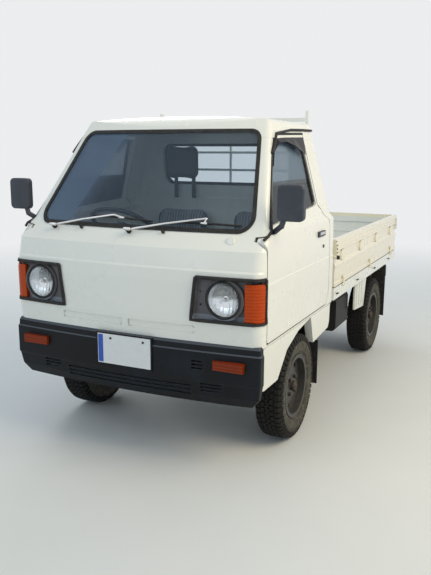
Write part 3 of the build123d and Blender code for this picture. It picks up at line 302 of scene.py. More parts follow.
def metal(name, shade, rough, stain):
    """Bare metal, duller and darker where it is stained."""
    s = Surface(name, Metallic=1.0)
    marks = s.noise(30.0, 6.0, 0.65)
    s.set(Base_Color=s.blend(s.step(marks, 0.5, 0.8) * stain, shade, toned(shade, 0.4)),
          Roughness=rough + marks * 0.18)
    return s.bump(marks, 0.04, 0.0004)


def finish(piece, surface):
    """Give a piece one material."""
    piece.data.materials.clear()
    piece.data.materials.append(surface.material)


# ---------------------------------------------------------------- modelling


def alone(piece):
    """Make a piece the only selected one, and the active one."""
    bpy.ops.object.select_all(action="DESELECT")
    piece.select_set(True)
    bpy.context.view_layer.objects.active = piece


def start(kind, name, **place):
    """Add a primitive at its size and place, and bring its object to the origin."""
    bpy.ops.object.select_all(action="DESELECT")
    getattr(bpy.ops.mesh, "primitive_" + kind + "_add")(**place)
    piece = bpy.context.object
    piece.name = name
    bpy.ops.object.transform_apply(location=True, rotation=True, scale=True)
    return piece


def box(name, place, size):
    """Box of a size round a place."""
    return start("cube", name, size=1.0, location=place, scale=size)


def rod(name, place, radius, depth, sides=24, turn=ACROSS):
    """Cylinder round a place, across the truck unless turned otherwise."""
    return start("cylinder", name, vertices=sides, radius=radius, depth=depth, location=place,
                 rotation=turn)


def edit(piece, kind="FACE"):
    """Enter edit mode on a piece, with nothing selected."""
    alone(piece)
    bpy.ops.object.mode_set(mode="EDIT")
    bpy.ops.mesh.select_mode(type=kind)
    bpy.ops.mesh.select_all(action="DESELECT")


def done(piece, smooth=None):
    """Leave edit mode, with faces smoothed below an angle."""
    bpy.ops.object.mode_set(mode="OBJECT")
    if smooth:
        alone(piece)
        bpy.ops.object.shade_smooth_by_angle(angle=math.radians(smooth))
    return piece


def every():
    """Select all that is being edited."""
    bpy.ops.mesh.select_all(action="SELECT")


def pick(piece, test):
    """Select the faces, in edit mode, whose middle passes a test."""
    mesh = bmesh.from_edit_mesh(piece.data)
    for face in mesh.faces:
        face.select_set(test(face.calc_center_median()))
    mesh.select_flush_mode()
    bmesh.update_edit_mesh(piece.data)


def trace(name, points, closed=False):
    """Line of edges through points, left in edit mode with its last point selected."""
    piece = start("plane", name, size=0.001, location=points[0])
    edit(piece, "VERT")
    every()
    bpy.ops.mesh.merge(type="CENTER")
    for near, far in zip(points, points[1:]):
        bpy.ops.mesh.extrude_region_move(TRANSFORM_OT_translate={"value": Vector(far) - Vector(near)})
    if closed:
        every()
        bpy.ops.mesh.edge_face_add()
    return piece


def turned(name, points, centre, axis, steps, smooth=35):
    """Outline turned once round an axis."""
    piece = trace(name, points)
    every()
    bpy.ops.mesh.spin(steps=steps, angle=math.tau, center=centre, axis=axis)
    every()
    bpy.ops.mesh.remove_doubles(threshold=0.00005)
    bpy.ops.mesh.normals_make_consistent(inside=False)
    return done(piece, smooth)


def tube(name, points, radius, round_off=0.0):
    """Round bar along points, its corners rounded off."""
    piece = trace(name, points)
    if round_off:
        mesh = bmesh.from_edit_mesh(piece.data)
        for vertex in mesh.verts:
            vertex.select_set(len(vertex.link_edges) == 2)
        bmesh.update_edit_mesh(piece.data)
        bpy.ops.mesh.bevel(offset=round_off, segments=5, affect="VERTICES")
    done(piece)
    bpy.ops.object.convert(target="CURVE")
    curve = bpy.context.object
    curve.data.bevel_depth, curve.data.bevel_resolution, curve.data.use_fill_caps = radius, 2, True
    bpy.ops.object.convert(target="MESH")
    piece = bpy.context.object
    piece.name = name
    edit(piece)
    every()
    bpy.ops.mesh.remove_doubles(threshold=0.00002)
    bpy.ops.mesh.normals_make_consistent(inside=False)
    return done(piece, 50)


def modified(piece, kind, **values):
    """Apply one modifier."""
    alone(piece)
    modifier = piece.modifiers.new(kind, kind)
    for name, value in values.items():
        setattr(modifier, name, value)
    bpy.ops.object.modifier_apply(modifier=modifier.name)
    return piece


def bevelled(piece, width, segments=3):
    """Round a piece's sharp edges."""
    modified(piece, "BEVEL", width=width, segments=segments, limit_method="ANGLE", angle_limit=0.6)
    return done(piece, 40)


def joined(name, pieces):
    """Several shapes made one piece."""
    bpy.ops.object.select_all(action="DESELECT")
    for piece in pieces:
        piece.select_set(True)
    bpy.context.view_layer.objects.active = pieces[0]
    bpy.ops.object.join()
    bpy.context.object.name = name
    return bpy.context.object


def copied(piece, name, move):
    """Copy with its own mesh, moved."""
    other = piece.copy()
    other.data = piece.data.copy()
    other.name = name
    bpy.context.scene.collection.objects.link(other)
    other.data.transform(Matrix.Translation(move))
    return other


def fitted(piece, body, name, *nodes, slot=None):
    """Give a finished piece its body and finish, and hide the nodes it stands for; slot is not used."""
    finish(piece, surfaces[name])
    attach(piece, body)
    if nodes:
        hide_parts(*nodes)


def between(corners, count):
    """Points along straight runs between corners, count to each run, without the last corner."""
    return [tuple(a + (b - a) * k / count for a, b in zip(near, far))
            for near, far in zip(corners, corners[1:]) for k in range(count)]


class Skin:
    """Finds where a straight line meets some of the solids."""

    def __init__(self, *nodes):
        mesh = bmesh.new()
        for node in nodes:
            mesh.from_mesh(frame["nodes"][node].data)
        self.tree = BVHTree.FromBMesh(mesh)
        mesh.free()

    def side(self, y, z, side):
        """How far out the skin is at a side, or beside the gap that the line slips through."""
        met = self.tree.ray_cast(Vector((side * 1.2, at(y), z)), Vector((-side, 0.0, 0.0)), 0.8)[0]
        return (met or self.tree.find_nearest(Vector((side * 0.66, at(y), z)))[0]).x

    def inside(self, y, z, side):
        """How far out the skin's inner face is at a side."""
        return self.tree.ray_cast(Vector((side * 0.3, at(y), z)), Vector((side, 0.0, 0.0)))[0].x

    def front(self, x, z):
        """Distance of the skin behind the front axle, seen from the front."""
        return self.tree.ray_cast(Vector((x, -2.2, z)), Vector((0.0, 1.0, 0.0)))[0].y - AXLE_Y


# ---------------------------------------------------------------- settings


def length(name, default, text):
    return FloatProperty(name=name, description=text, default=default, unit="LENGTH", min=0.0)


def colour(name, default, text):
    return FloatVectorProperty(name=name, description=text, default=default, size=3, min=0.0, max=1.0,
                               subtype="COLOR")


class TruckPaints(bpy.types.PropertyGroup):
    """Colours a user would change."""
    body: colour("Body paint", (0.80, 0.795, 0.740), "Ivory of the cab and the gates")
    bed: colour("Bed paint", (0.73, 0.755, 0.735), "Worn pale blue of the bed's inside")
    moulding: colour("Mouldings", (0.030, 0.037, 0.052), "Bumper, mirrors and lamp surrounds")
    frame: colour("Frame", (0.012, 0.012, 0.013), "Rails, axles and springs")
    wheel: colour("Wheels", (0.016, 0.016, 0.018), "Pressed wheels")
    amber: colour("Amber lenses", (0.46, 0.050, 0.001), "Indicator lenses")


class TruckSizes(bpy.types.PropertyGroup):
    """Sizes a user would change."""
    tread_base: length("Tread base", 0.277, "Radius of the tyre between its tread blocks")
    tread_deep: length("Tread depth", 0.0068, "How far the blocks stand out")
    pitches: IntProperty(name="Pitches", description="Tread blocks round the tyre", default=54, min=12)
    nut_circle: length("Nut circle", 0.055, "Radius of the circle of wheel nuts")


class TruckStudio(bpy.types.PropertyGroup):
    """Camera and light."""
    camera_place: FloatVectorProperty(name="Camera", description="Camera's place",
                                      default=(1.7483, -4.2647, 1.5069), size=3, subtype="XYZ")
    camera_lens: FloatProperty(name="Lens", description="Focal length", default=42.14, unit="CAMERA")
    key: FloatProperty(name="Key lamp", description="Power of the warm lamp", default=185.0, min=0.0)
    fill: FloatProperty(name="Fill lamp", description="Power of the cool lamp", default=45.0, min=0.0)
    sky: FloatProperty(name="Sky", description="Strength of the even light", default=0.63, min=0.0)


# ---------------------------------------------------------------- operators


class TRUCK_OT_finishes(bpy.types.Operator):
    """Give each solid that stays in view its aged finish"""
    bl_idname = "truck.finishes"
    bl_label = "Finishes"

    def execute(self, context):
        tints = context.scene.truck_paints
        self.paints(tints)
        self.mouldings(tints)
        self.metals()
        self.lenses(tints)
        self.fabrics()
        for name, nodes in COATS.items():
            for node in nodes:
                finish(frame["nodes"][node], surfaces[name])
        return {"FINISHED"}

    def paints(self, tints):
        """Aged paint of the cab, the bed, the chassis and the wheels."""
        paint("body_paint", tints.body, 0.35)
        paint("door_paint", tints.body, 0.20, 0.0, COAL, self.window_frame)
        cream = [c * t for c, t in zip(tints.body, (1.0, 0.935, 0.80))]
        paint("gate_paint", cream, 0.25, 0.45, tints.bed, self.gate_inside)
        paint("arch_paint", tints.body, 0.4, 0.3, (0.020, 0.020, 0.021), lambda s: s.y < at(1.20))
        paint("bed_paint", tints.bed, 1.0, 0.8, gloss=0.25)
        paint("frame_black", tints.frame, 0.05, 0.4, gloss=0.15).set(IOR=1.30)
        paint("wheel_paint", tints.wheel, 0.18, 0.3, gloss=0.35)

    def mouldings(self, tints):
        """Plastics and rubbers."""
        plastic("mirror_plastic", tints.moulding, (0.060, 0.068, 0.085))
        bumper = plastic("bumper_plastic", toned(tints.moulding, 0.14), (0.011, 0.015, 0.022))
        # painted highlight: bumper faces that look up are painted a paler blue-grey
        painted_top_light = bumper.step(bumper.facing("Z"), 0.15, 0.75) * 0.85
        bumper.set(Base_Color=bumper.blend(painted_top_light, bumper.colour(), (0.085, 0.098, 0.118)), IOR=1.30)
        plastic("dark_plastic", (0.018, 0.019, 0.021), (0.04, 0.04, 0.042))
        surround = plastic("surround_plastic", (0.095, 0.090, 0.098), (0.135, 0.130, 0.140))
        # painted highlight: the surround below z 0.788, its lower shelf, is painted a paler blue-grey
        low = surround.step(0.788 - surround.z, 0.0, 0.008)
        shelf_highlight = surround.blend(low, surround.colour(), (0.22, 0.24, 0.27))
        surround.set(Base_Color=surround.blend(surround.size(surround.x) > 0.640, shelf_highlight, COAL))
        rubber("black_rubber")
        rubber("tread_rubber", (0.006, 0.006, 0.006), 0.75, 0.10)
        rubber("wall_rubber", (0.052, 0.048, 0.040), 0.85, 1.0, (0.140, 0.127, 0.098))

    def metals(self):
        """Bare metals, and the lamp bowls' mirror, its colour a marbled painted reflection, dim above and
        bright below.
        """
        metal("bare_iron", (0.10, 0.085, 0.07), 0.5, 0.7)
        metal("silver_metal", (0.66, 0.66, 0.66), 0.22, 0.3)
        mirror = Surface("reflector_metal", Metallic=1.0, Roughness=0.07)
        squeezed = mirror.node("ShaderNodeVectorMath", {0: mirror.place, 1: (1.0, 1.0, 2.2)},
                               operation="MULTIPLY")
        swirl = mirror.noise(14.0, 3.0, 0.6, squeezed, 1.6)
        # painted reflection: the bowl is coloured dark above the lamp's middle and bright below it
        upper = mirror.step(mirror.z + (swirl - 0.5) * 0.05, LAMP_Z - 0.012, LAMP_Z + 0.012)
        bright_reflection = mirror.blend(swirl, (0.75, 0.78, 0.80), (1.0, 1.0, 1.0))
        dark_reflection = mirror.blend(swirl, (0.10, 0.10, 0.10), (0.46, 0.45, 0.44))
        mirror.set(Base_Color=mirror.blend(upper, bright_reflection, dark_reflection))
        mirror.bump(mirror.bands(16.0, "X"), 0.25, 0.004)

    def lenses(self, tints):
        """Ribbed lenses, plates and glass."""
        amber = Surface("amber_plastic", Roughness=0.16, IOR=1.30)
        upper = amber.step(amber.z, 0.64, 0.70) * (0.75 + amber.noise(22.0) * 0.5)
        amber.set(Base_Color=amber.blend(upper, toned(tints.amber, 0.45), tints.amber))
        amber.bump(amber.bands(21.0, "Z"), 0.45, 0.004)
        red = Surface("red_plastic", Base_Color=(0.42, 0.012, 0.012), Roughness=0.12, IOR=1.49)
        red.bump(red.bands(26.0, "Z"), 0.35, 0.003)
        plate = Surface("plate_white", Roughness=0.35)
        plate.set(Base_Color=plate.blend(plate.noise(30.0, 4.0), (0.74, 0.75, 0.76), (0.66, 0.67, 0.68)))
        plate.bump(plate.noise(300.0), 0.05, 0.0005)
        blue = Surface("plate_blue", Base_Color=(0.02, 0.09, 0.42), Roughness=0.3)
        blue.bump(blue.noise(300.0), 0.05, 0.0005)
        glass = Surface("window_glass", Roughness=0.015, IOR=1.5)
        # painted reflection: the windscreen and back glass are given a diffuse sky blue
        painted_sky_reflection = glass.blend(glass.noise(2.0, 3.0), (0.16, 0.21, 0.29), (0.26, 0.33, 0.43))
        beside = glass.size(glass.x) > 0.600  # the two door glasses
        # painted shade: the door glasses get a near-black colour and a larger share, for the dim cab seen
        # through them
        glass.set(Base_Color=glass.blend(beside, painted_sky_reflection, (0.030, 0.038, 0.046)))
        glass.see_through(glass.clamp(glass.rim(0.22) * 0.8 + 0.08 + beside * 0.40), (0.93, 0.965, 0.985))
        visor = Surface("smoked_plastic", Base_Color=(0.006, 0.005, 0.005), Roughness=0.30, IOR=1.30)
        visor.see_through(visor.clamp(visor.rim(0.3) * 0.3 + 0.75), (0.14, 0.11, 0.09))
        # painted reflection: the lens's near-white colour shows most where it is seen edge-on, for the white
        # studio mirrored in it
        lens = Surface("lamp_glass", Base_Color=(0.9, 0.92, 0.93), Roughness=0.03, IOR=1.5)
        lens.see_through(lens.clamp(lens.rim(0.35) * 0.5 + 0.04), (0.98, 0.99, 1.0))
        lens.bump(lens.bands(22.0, "X"), 0.5, 0.004)

    def fabrics(self):
        """The seats' vinyl, and their cloth with its striped middle."""
        plastic("seat_vinyl", (0.030, 0.033, 0.038), (0.055, 0.06, 0.066), 420.0, 0.48)
        cloth = Surface("seat_cloth", Roughness=0.9, Sheen_Weight=0.3)
        weave = cloth.noise(900.0, 2.0)
        middle = cloth.step(SEAT_PANEL - cloth.size(cloth.size(cloth.x) - SEAT_X), 0.0, 0.004)
        plain = cloth.blend(weave, (0.030, 0.033, 0.040), (0.060, 0.063, 0.072))
        stripes = cloth.clamp(cloth.step(cloth.bands(17.0, "X"), 0.30, 0.75) * 0.7 + weave * 0.3)
        striped = cloth.blend(stripes, (0.13, 0.135, 0.145), (0.30, 0.305, 0.315))
        cloth.set(Base_Color=cloth.blend(middle, plain, striped))
        cloth.bump(weave, 0.3, 0.0006)

    def window_frame(self, s):
        """The part of a door's window frame ahead of the line up its front pillar."""
        y, z, run_y, run_z = DOOR_LINE
        ahead = (s.y - at(y)) * run_z - (s.z - z) * run_y < 0.0
        return ahead * (s.z > 1.150) * (s.z < 1.540)

    def gate_inside(self, s):
        """The gates' faces that look into the bed, below their top rail."""
        sides = (s.x * s.facing("X") < -0.1) * (s.y < GATE_END_Y)
        tail = (s.facing("Y") < -0.2) * (s.y > GATE_END_Y)
        return s.clamp(sides + tail) * (s.z < GATE_RAIL_Z)


class TRUCK_OT_tyres(bpy.types.Operator):
    """Turn a tyre, raise its tread blocks and copy it to each wheel"""
    bl_idname = "truck.tyres"
    bl_label = "Tyres"

    def execute(self, context):
        sizes = context.scene.truck_sizes
        first = self.tyre(sizes)
        for wheel in WHEELS:
            side = 1 if "left" in wheel else -1
            y = WHEELBASE if "rear" in wheel else 0.0
            tyre = copied(first, "tyre_tread_" + wheel, ((side - 1) * WHEEL_X, y, 0.0))
            fitted(tyre, "wheel_" + wheel, "tread_rubber", "tyre_" + wheel)
            tyre.data.materials.append(surfaces["wall_rubber"].material)
            for face in tyre.data.polygons:
                reach = math.hypot(face.center.y - at(y), face.center.z - TYRE_RADIUS)
                face.material_index = int(reach < sizes.tread_base - 0.030)
            self.nuts(wheel, side, y, sizes)
        bpy.data.objects.remove(first)
        return {"FINISHED"}

    def tyre(self, sizes):
        """The front left tyre: a turned casing with its blocks pushed out."""
        base = sizes.tread_base
        # half the casing's outline, as distance from its middle plane and radius
        half = ((0.000, base), (0.010, base), (0.0145, base), (0.0180, base), (0.0345, base),
                (0.0390, base - 0.0005), (0.0560, base - 0.0025), (0.0625, base - 0.009),
                (0.0690, base - 0.031), (0.0715, 0.236), (0.0728, 0.233), (0.0728, 0.226),
                (0.0712, 0.2235), (0.0715, 0.205), (0.0665, 0.190), (0.0612, 0.186), (0.0612, 0.181),
                (0.0590, 0.1765), (0.0560, 0.1735), (0.0560, 0.158))
        profile = [(-x, r) for x, r in reversed(half[1:])] + list(half)
        points = [(WHEEL_X + x, at(0.0), TYRE_RADIUS + r) for x, r in profile]
        tyre = turned("tyre_first", points, (WHEEL_X, at(0.0), TYRE_RADIUS), (1.0, 0.0, 0.0),
                      4 * sizes.pitches, 30)
        edit(tyre)
        step = math.tau / (4 * sizes.pitches)

        def block(middle):
            """Whether a face there stands out: three in four along each band."""
            x = abs(middle.x - WHEEL_X)
            reach = math.hypot(middle.y - at(0.0), middle.z - TYRE_RADIUS)
            if x > 0.067 or reach < base - 0.025 or any(near < x < far for near, far in GROOVES):
                return False
            angle = math.atan2(middle.z - TYRE_RADIUS, middle.y - at(0.0)) % math.tau
            band = sum(x > near for near, far in GROOVES)
            count = int(angle / step) + (0, 2, 1)[band] + (2 if middle.x < WHEEL_X else 0)
            return count % 4 != 0

        pick(tyre, block)
        bpy.ops.mesh.extrude_region_shrink_fatten(TRANSFORM_OT_shrink_fatten={"value": sizes.tread_deep})
        return done(tyre, 30)

    def nuts(self, wheel, side, y, sizes):
        """Four wheel nuts and the dust cap over the hub."""
        shapes = []
        for count in range(4):
            angle = math.tau * (count + 0.5) / 4
            place = (side * (DISC_X + 0.007), at(y) + sizes.nut_circle * math.cos(angle),
                     TYRE_RADIUS + sizes.nut_circle * math.sin(angle))
            shapes.append(bevelled(rod("nut", place, 0.0105, 0.015, 6), 0.0018, 2))
        outline = [(side * (DISC_X + out), at(y), TYRE_RADIUS + reach) for out, reach in
                   ((-0.002, 0.027), (0.020, 0.025), (0.026, 0.018), (0.028, 0.0002))]
        shapes.append(turned("cap", outline, (side * DISC_X, at(y), TYRE_RADIUS), (1.0, 0.0, 0.0), 24))
        fitted(joined("wheel_nuts_" + wheel, shapes), "wheel_" + wheel, "bare_iron")


class TRUCK_OT_headlamps(bpy.types.Operator):
    """Build the bowl, the domed glass, the bulb and the two rings of each headlamp"""
    bl_idname = "truck.headlamps"
    bl_label = "Headlamps"

    def execute(self, context):
        for word, side in SIDES:
            self.lamp(word, side * LAMP_X)
        return {"FINISHED"}

    def lamp(self, word, x):
        """One lamp; its outlines give reach from its middle and distance behind the front axle."""
        def turn(part, steps, smooth, *outline):
            return turned("lamp_" + part + "_" + word, [(x, at(y), LAMP_Z + reach) for reach, y in outline],
                          (x, at(-0.632), LAMP_Z), (0.0, 1.0, 0.0), steps, smooth)

        bowl = turn("bowl", 48, 60, (0.0835, -0.612), (0.0815, -0.612), (0.074, -0.602), (0.058, -0.592),
                    (0.040, -0.5865), (0.020, -0.5845), (0.0002, -0.5842))
        fitted(bowl, "body", "reflector_metal", "headlamps")
        glass = turn("glass", 48, 60, (0.0002, -0.632), (0.020, -0.6315), (0.040, -0.629),
                     (0.060, -0.6245), (0.074, -0.619), (0.0785, -0.615), (0.0785, -0.612))
        modified(glass, "SOLIDIFY", thickness=0.002, offset=-1.0)
        fitted(glass, "body", "lamp_glass", "headlamps")
        bulb = turn("bulb", 20, 50, (0.0002, -0.612), (0.007, -0.610), (0.009, -0.604), (0.009, -0.588),
                    (0.014, -0.586), (0.014, -0.583))
        fitted(bulb, "body", "silver_metal")
        ring = turn("ring", 64, 40, (0.0785, -0.6205), (0.0855, -0.6215), (0.0925, -0.6165),
                    (0.0935, -0.605), (0.0785, -0.605), (0.0785, -0.6205))
        fitted(ring, "body", "black_rubber", slot="dark_plastic")
        trim = turn("trim", 64, 40, (0.0935, -0.6150), (0.0965, -0.6165), (0.0990, -0.6150),
                    (0.1000, -0.604), (0.0935, -0.604), (0.0935, -0.6150))
        fitted(trim, "body", "surround_plastic")


class TRUCK_OT_seats(bpy.types.Operator):
    """Puff the seats' cushions and backs and the headrest as cloth, and sew their channels"""
    bl_idname = "truck.seats"
    bl_label = "Seats"

    def execute(self, context):
        cushion = self.pad("seat_pad", (0.0, 0.178, 0.838), (0.385, 0.470, 0.078), 0.0, 0.016, 0.045)
        back = self.pad("back_pad", (0.0, 0.452, 1.035), (0.365, 0.052, 0.292), -0.235, 0.016, 0.070)
        for word, side in SIDES:
            for name, pad in (("seat_cushion", cushion), ("seat_back", back)):
                piece = copied(pad, name + "_" + word, (side * SEAT_X, 0.0, 0.0))
                fitted(piece, "body", "seat_cloth", name + "s")
        bpy.data.objects.remove(cushion)
        bpy.data.objects.remove(back)
        head = self.pad("headrest_pad", (-SEAT_X, 0.470, 1.456), (0.226, 0.036, 0.206), 0.0, 0.010, 0.045,
                        channels=False)
        fitted(head, "body", "seat_vinyl", "headrest")
        legs = [bevelled(box("leg", (x - SEAT_X, at(0.500), 1.300), (0.024, 0.012, 0.130)), 0.004)
                for x in (-0.062, 0.062)]
        fitted(joined("headrest_legs", legs), "body", "dark_plastic")
        return {"FINISHED"}

    def pad(self, name, place, size, lean, cap, corner, channels=True):
        """Cushion round one place, leaning back, puffed by at most cap as cloth and sewn in channels."""
        piece = box(name, (0.0, 0.0, 0.0), size)
        thin = min(range(3), key=lambda axis: size[axis])
        edit(piece, "EDGE")
        mesh = bmesh.from_edit_mesh(piece.data)
        for line in mesh.edges:
            along = line.verts[1].co - line.verts[0].co
            line.select_set(abs(along[thin]) > 0.5 * size[thin])
        bmesh.update_edit_mesh(piece.data)
        bpy.ops.mesh.bevel(offset=corner, segments=6)
        done(piece)
        modified(piece, "BEVEL", width=min(size) * 0.42, segments=4, limit_method="ANGLE", angle_limit=0.9)
        self.puff(piece, cap)
        modified(piece, "SUBSURF", levels=1, render_levels=1)
        if channels:
            self.sew(piece, thin)
        piece.data.transform(Matrix.Translation((place[0], at(place[1]), place[2]))
                             @ Euler((lean, 0.0, 0.0)).to_matrix().to_4x4())
        return done(piece, 60)

    def puff(self, piece, cap):
        """Blow a pad up as cloth, each point by at most cap."""
        modified(piece, "REMESH", mode="VOXEL", voxel_size=0.006)
        rest = [vertex.co.copy() for vertex in piece.data.vertices]
        cloth = piece.modifiers.new("cloth", "CLOTH")
        cloth.settings.use_pressure = True
        cloth.settings.uniform_pressure_force = 4.0
        cloth.settings.effector_weights.gravity = 0.0
        for count in range(1, 21):  # enough frames for the cloth to fill out
            bpy.context.scene.frame_set(count)
        puffed = piece.evaluated_get(bpy.context.evaluated_depsgraph_get()).data
        moved = [vertex.co.copy() for vertex in puffed.vertices]
        piece.modifiers.remove(cloth)
        bpy.context.scene.frame_set(1)
        for vertex, near, far in zip(piece.data.vertices, rest, moved):
            push = far - near
            vertex.co = near + push * min(1.0, cap / max(push.length, 1e-6))
        modified(piece, "SMOOTH", factor=0.5, iterations=3)

    def sew(self, piece, thin):
        """Press the seams of the striped middle into both faces of a pad."""
        for vertex in piece.data.vertices:
            x = abs(vertex.co.x)
            seam = (x + CHANNEL / 2) % CHANNEL - CHANNEL / 2
            groove = math.exp(-(seam / 0.0045) ** 2) if x < SEAT_PANEL else 0.0
            edge = math.exp(-((x - SEAT_PANEL) / 0.006) ** 2)
            vertex.co[thin] -= math.copysign(0.004 * groove + 0.007 * edge, vertex.co[thin])


class TRUCK_OT_wipers(bpy.types.Operator):
    """Build each wiper: black pivot, silver arm and clip, black blade"""
    bl_idname = "truck.wipers"
    bl_label = "Wipers"

    def execute(self, context):
        # pivot, arm's end and the blade's two ends, y behind the front axle
        places = (((-0.470, -0.554, 1.146), (-0.112, -0.533, 1.209), (-0.250, -0.515, 1.204),
                   (0.103, -0.535, 1.190)),
                  ((-0.005, -0.584, 1.148), (0.384, -0.507, 1.210), (0.191, -0.531, 1.191),
                   (0.548, -0.492, 1.185)))
        out = Vector((0.0, -0.60, 0.80))  # away from the windscreen
        for word, marks in zip(("right", "left"), places):
            pivot, end, near, far = (Vector((x, at(y), z)) for x, y, z in marks)
            middle = (near + far) / 2
            foot = pivot + Vector((0.0, 0.036, -0.022))
            knob = tube("wiper_pivot_" + word, [foot, pivot + out * 0.004], 0.0115)
            fitted(knob, "body", "black_rubber", "wipers")
            lift = out * 0.006
            arm = tube("wiper_arm_" + word, [pivot + lift * 0.3, pivot + (end - pivot) * 0.10 + lift,
                                             pivot + (end - pivot) * 0.5 + lift * 1.6, end + lift,
                                             middle + lift], 0.0052, 0.006)
            clip = bevelled(box("clip", middle + lift * 0.8, (0.034, 0.012, 0.010)), 0.003)
            boss = bevelled(box("boss", pivot + out * 0.009, (0.040, 0.018, 0.016)), 0.005)
            fitted(joined("wiper_arm_" + word, [arm, clip, boss]), "body", "silver_metal", "wipers")
            sweep = [near + (far - near) * k / 6 + out * 0.004 * math.sin(math.pi * k / 6) for k in range(7)]
            blade = tube("wiper_blade_" + word, sweep, 0.0048)
            fitted(blade, "body", "black_rubber", "wipers")
        return {"FINISHED"}


class TRUCK_OT_fittings(bpy.types.Operator):
    """Add the small parts: nozzles, cap, handles, shields, seals, latches, linings and plate bolts"""
    bl_idname = "truck.fittings"
    bl_label = "Small fittings"

    def execute(self, context):
        for add in (self.nozzles, self.shields, self.handles, self.plate, self.seals, self.nose,
                    self.frames, self.latches, self.linings):
            add()
        return {"FINISHED"}

    def linings(self):
        """Dark lining with an armrest and a window winder on the inside of each door."""
        low, high, near, far = 0.735, 1.075, -0.235, 0.375
        for word, side in SIDES:
            skin = Skin("door_" + word)
            x = min(abs(skin.inside(y, z, side)) for y in (near, 0.070, far) for z in (low, 0.905, high))
            panel = box("lining", (side * (x - 0.002), at((near + far) / 2), (low + high) / 2),
                        (0.006, far - near, high - low))
            rest = box("armrest", (side * (x - 0.018), at(0.150), 0.965), (0.034, 0.240, 0.050))
            winder = rod("winder", (side * (x - 0.012), at(-0.080), 0.930), 0.016, 0.020)
            crank = tube("crank", [(side * (x - 0.020), at(-0.080), 0.930),
                                   (side * (x - 0.026), at(-0.080), 0.860),
                                   (side * (x - 0.046), at(-0.080), 0.856)], 0.0055, 0.006)
            shapes = [bevelled(panel, 0.0025), bevelled(rest, 0.014, 4), bevelled(winder, 0.003), crank]
            fitted(joined("door_lining_" + word, shapes), "door_" + word, "seat_vinyl")

    def latches(self):
        """Black knob and a short strip of dark studs at each side gate's front end."""
        for word, side in SIDES:
            skin = Skin("gate_" + word, "bed_headboard", "guard_frame")
            x = skin.side(0.618, 0.902, side)
            knob = bevelled(rod("knob", (x + side * 0.006, at(0.618), 0.902), 0.0125, 0.016), 0.004)
            studs = [bevelled(rod("stud", (skin.side(0.612, z, side) + side * 0.002, at(0.612), z),
                                  0.0034, 0.006, 12), 0.001, 2)
                     for z in (0.932, 0.954, 0.976, 0.998)]
            fitted(joined("gate_latch_" + word, [knob, *studs]), "gate_" + word, "black_rubber")

    def seals(self):
        """Black rubber in each door's gaps, along its drip rail and behind its glass."""
        # y behind the front axle and z along the four lines
        gap = ((-0.529, 1.132), (-0.500, 1.146), (-0.444, 1.166), (-0.330, 1.328), (-0.194, 1.526),
               (-0.150, 1.567), (-0.109, 1.6055), (0.110, 1.6125), (0.330, 1.6190))
        drip = ((-0.214, 1.513), (-0.172, 1.556), (-0.119, 1.608), (-0.030, 1.619), (0.134, 1.634),
                (0.354, 1.640), (0.500, 1.642))
        shut = ((0.3335, 1.600), (0.3385, 1.500), (0.3430, 1.400), (0.3475, 1.300), (0.3510, 1.232))
        run = ((0.3015, 1.586), (0.3085, 1.500), (0.3150, 1.420), (0.3215, 1.330), (0.3265, 1.250))
        for word, side in SIDES:
            cab = Skin("cab_front_panel", "cab_roof", "cab_rear_panel", "door_" + word)
            door = Skin("door_" + word, "door_" + word + "_glass")
            points = [(cab.side(y + 0.012, z - 0.010, side) - side * 0.004, at(y), z) for y, z in gap]
            rear = [(door.side(y - 0.008, z, side) - side * 0.003, at(y), z) for y, z in shut]
            over = [(cab.side(y, z - 0.012, side) + side * 0.003, at(y), z) for y, z in drip]
            shapes = [tube("seal", points, 0.0066), tube("shut", rear, 0.0042), tube("drip", over, 0.0062)]
            fitted(joined("door_seal_" + word, shapes), "body", "black_rubber")
            points = [(door.side(y - 0.004, z, side) + side * 0.002, at(y - 0.006), z) for y, z in run]
            fitted(tube("glass_run_" + word, points, 0.0080), "door_" + word, "black_rubber")

    def nose(self):
        """Raised lines round the two sunk panels across the nose."""
        front = Skin("cab_front_panel")
        lines = []
        for side in (-1, 1):
            low, high, near, far, turn = 0.6905, 0.7265, 0.018, 0.372, 0.012
            corners = [(near + turn, low), (far - turn, low), (far, low + turn), (far, high - turn),
                       (far - turn, high), (near + turn, high), (near, high - turn), (near, low + turn)]
            corners.append(corners[0])
            points = []
            for run in zip(corners, corners[1:]):
                points += between(run, 6 if abs(run[1][0] - run[0][0]) > 0.1 else 1)
            points.append(points[0])
            lines.append(tube("line", [(side * x, at(front.front(side * x, z + 0.004)) - 0.0003, z)
                                       for x, z in points], 0.0017))
        fitted(joined("nose_lines", lines), "body", "body_paint")

    def frames(self):
        """Black frame round each headlamp's surround."""
        bezels = Skin("headlamp_bezels", "amber_lamps")
        frames = []
        for side in (-1, 1):
            for run in ([(0.3835, 0.9590), (0.3590, 0.7580), (0.6660, 0.7580)],
                        [(0.3850, 0.9590), (0.6660, 0.9590)]):
                frames.append(tube("frame", [(side * x, at(bezels.front(side * x, z)) - 0.0005, z)
                                             for x, z in between(run, 8) + run[-1:]], 0.0085))
            outer = [(bezels.side(-0.554, z, side), at(-0.554), z) for z in (0.758, 0.8, 0.85, 0.9, 0.959)]
            frames.append(tube("frame", outer, 0.0075))
        fitted(joined("bezel_frames", frames), "body", "black_rubber")

    def nozzles(self):
        """Two washer nozzles and the washer's filler cap."""
        front = Skin("cab_front_panel")
        shapes = []
        for x, z in ((-0.294, 1.143), (0.178, 1.144)):
            y = at(front.front(x, z))
            shapes.append(tube("nozzle", [(x, y + 0.004, z - 0.004), (x, y - 0.010, z + 0.004),
                                          (x - 0.003, y - 0.012, z + 0.016)], 0.007, 0.004))
        fitted(joined("washer_nozzles", shapes), "body", "black_rubber")
        x, z = 0.522, 1.120
        y = at(front.front(x, z))
        cap = rod("washer_cap", (x, y, z), 0.022, 0.018, 32, (math.radians(62), 0.0, 0.0))
        fitted(bevelled(cap, 0.005, 3), "body", "body_paint")

    def shields(self):
        """Smoked rain shield over the top of each door's glass."""
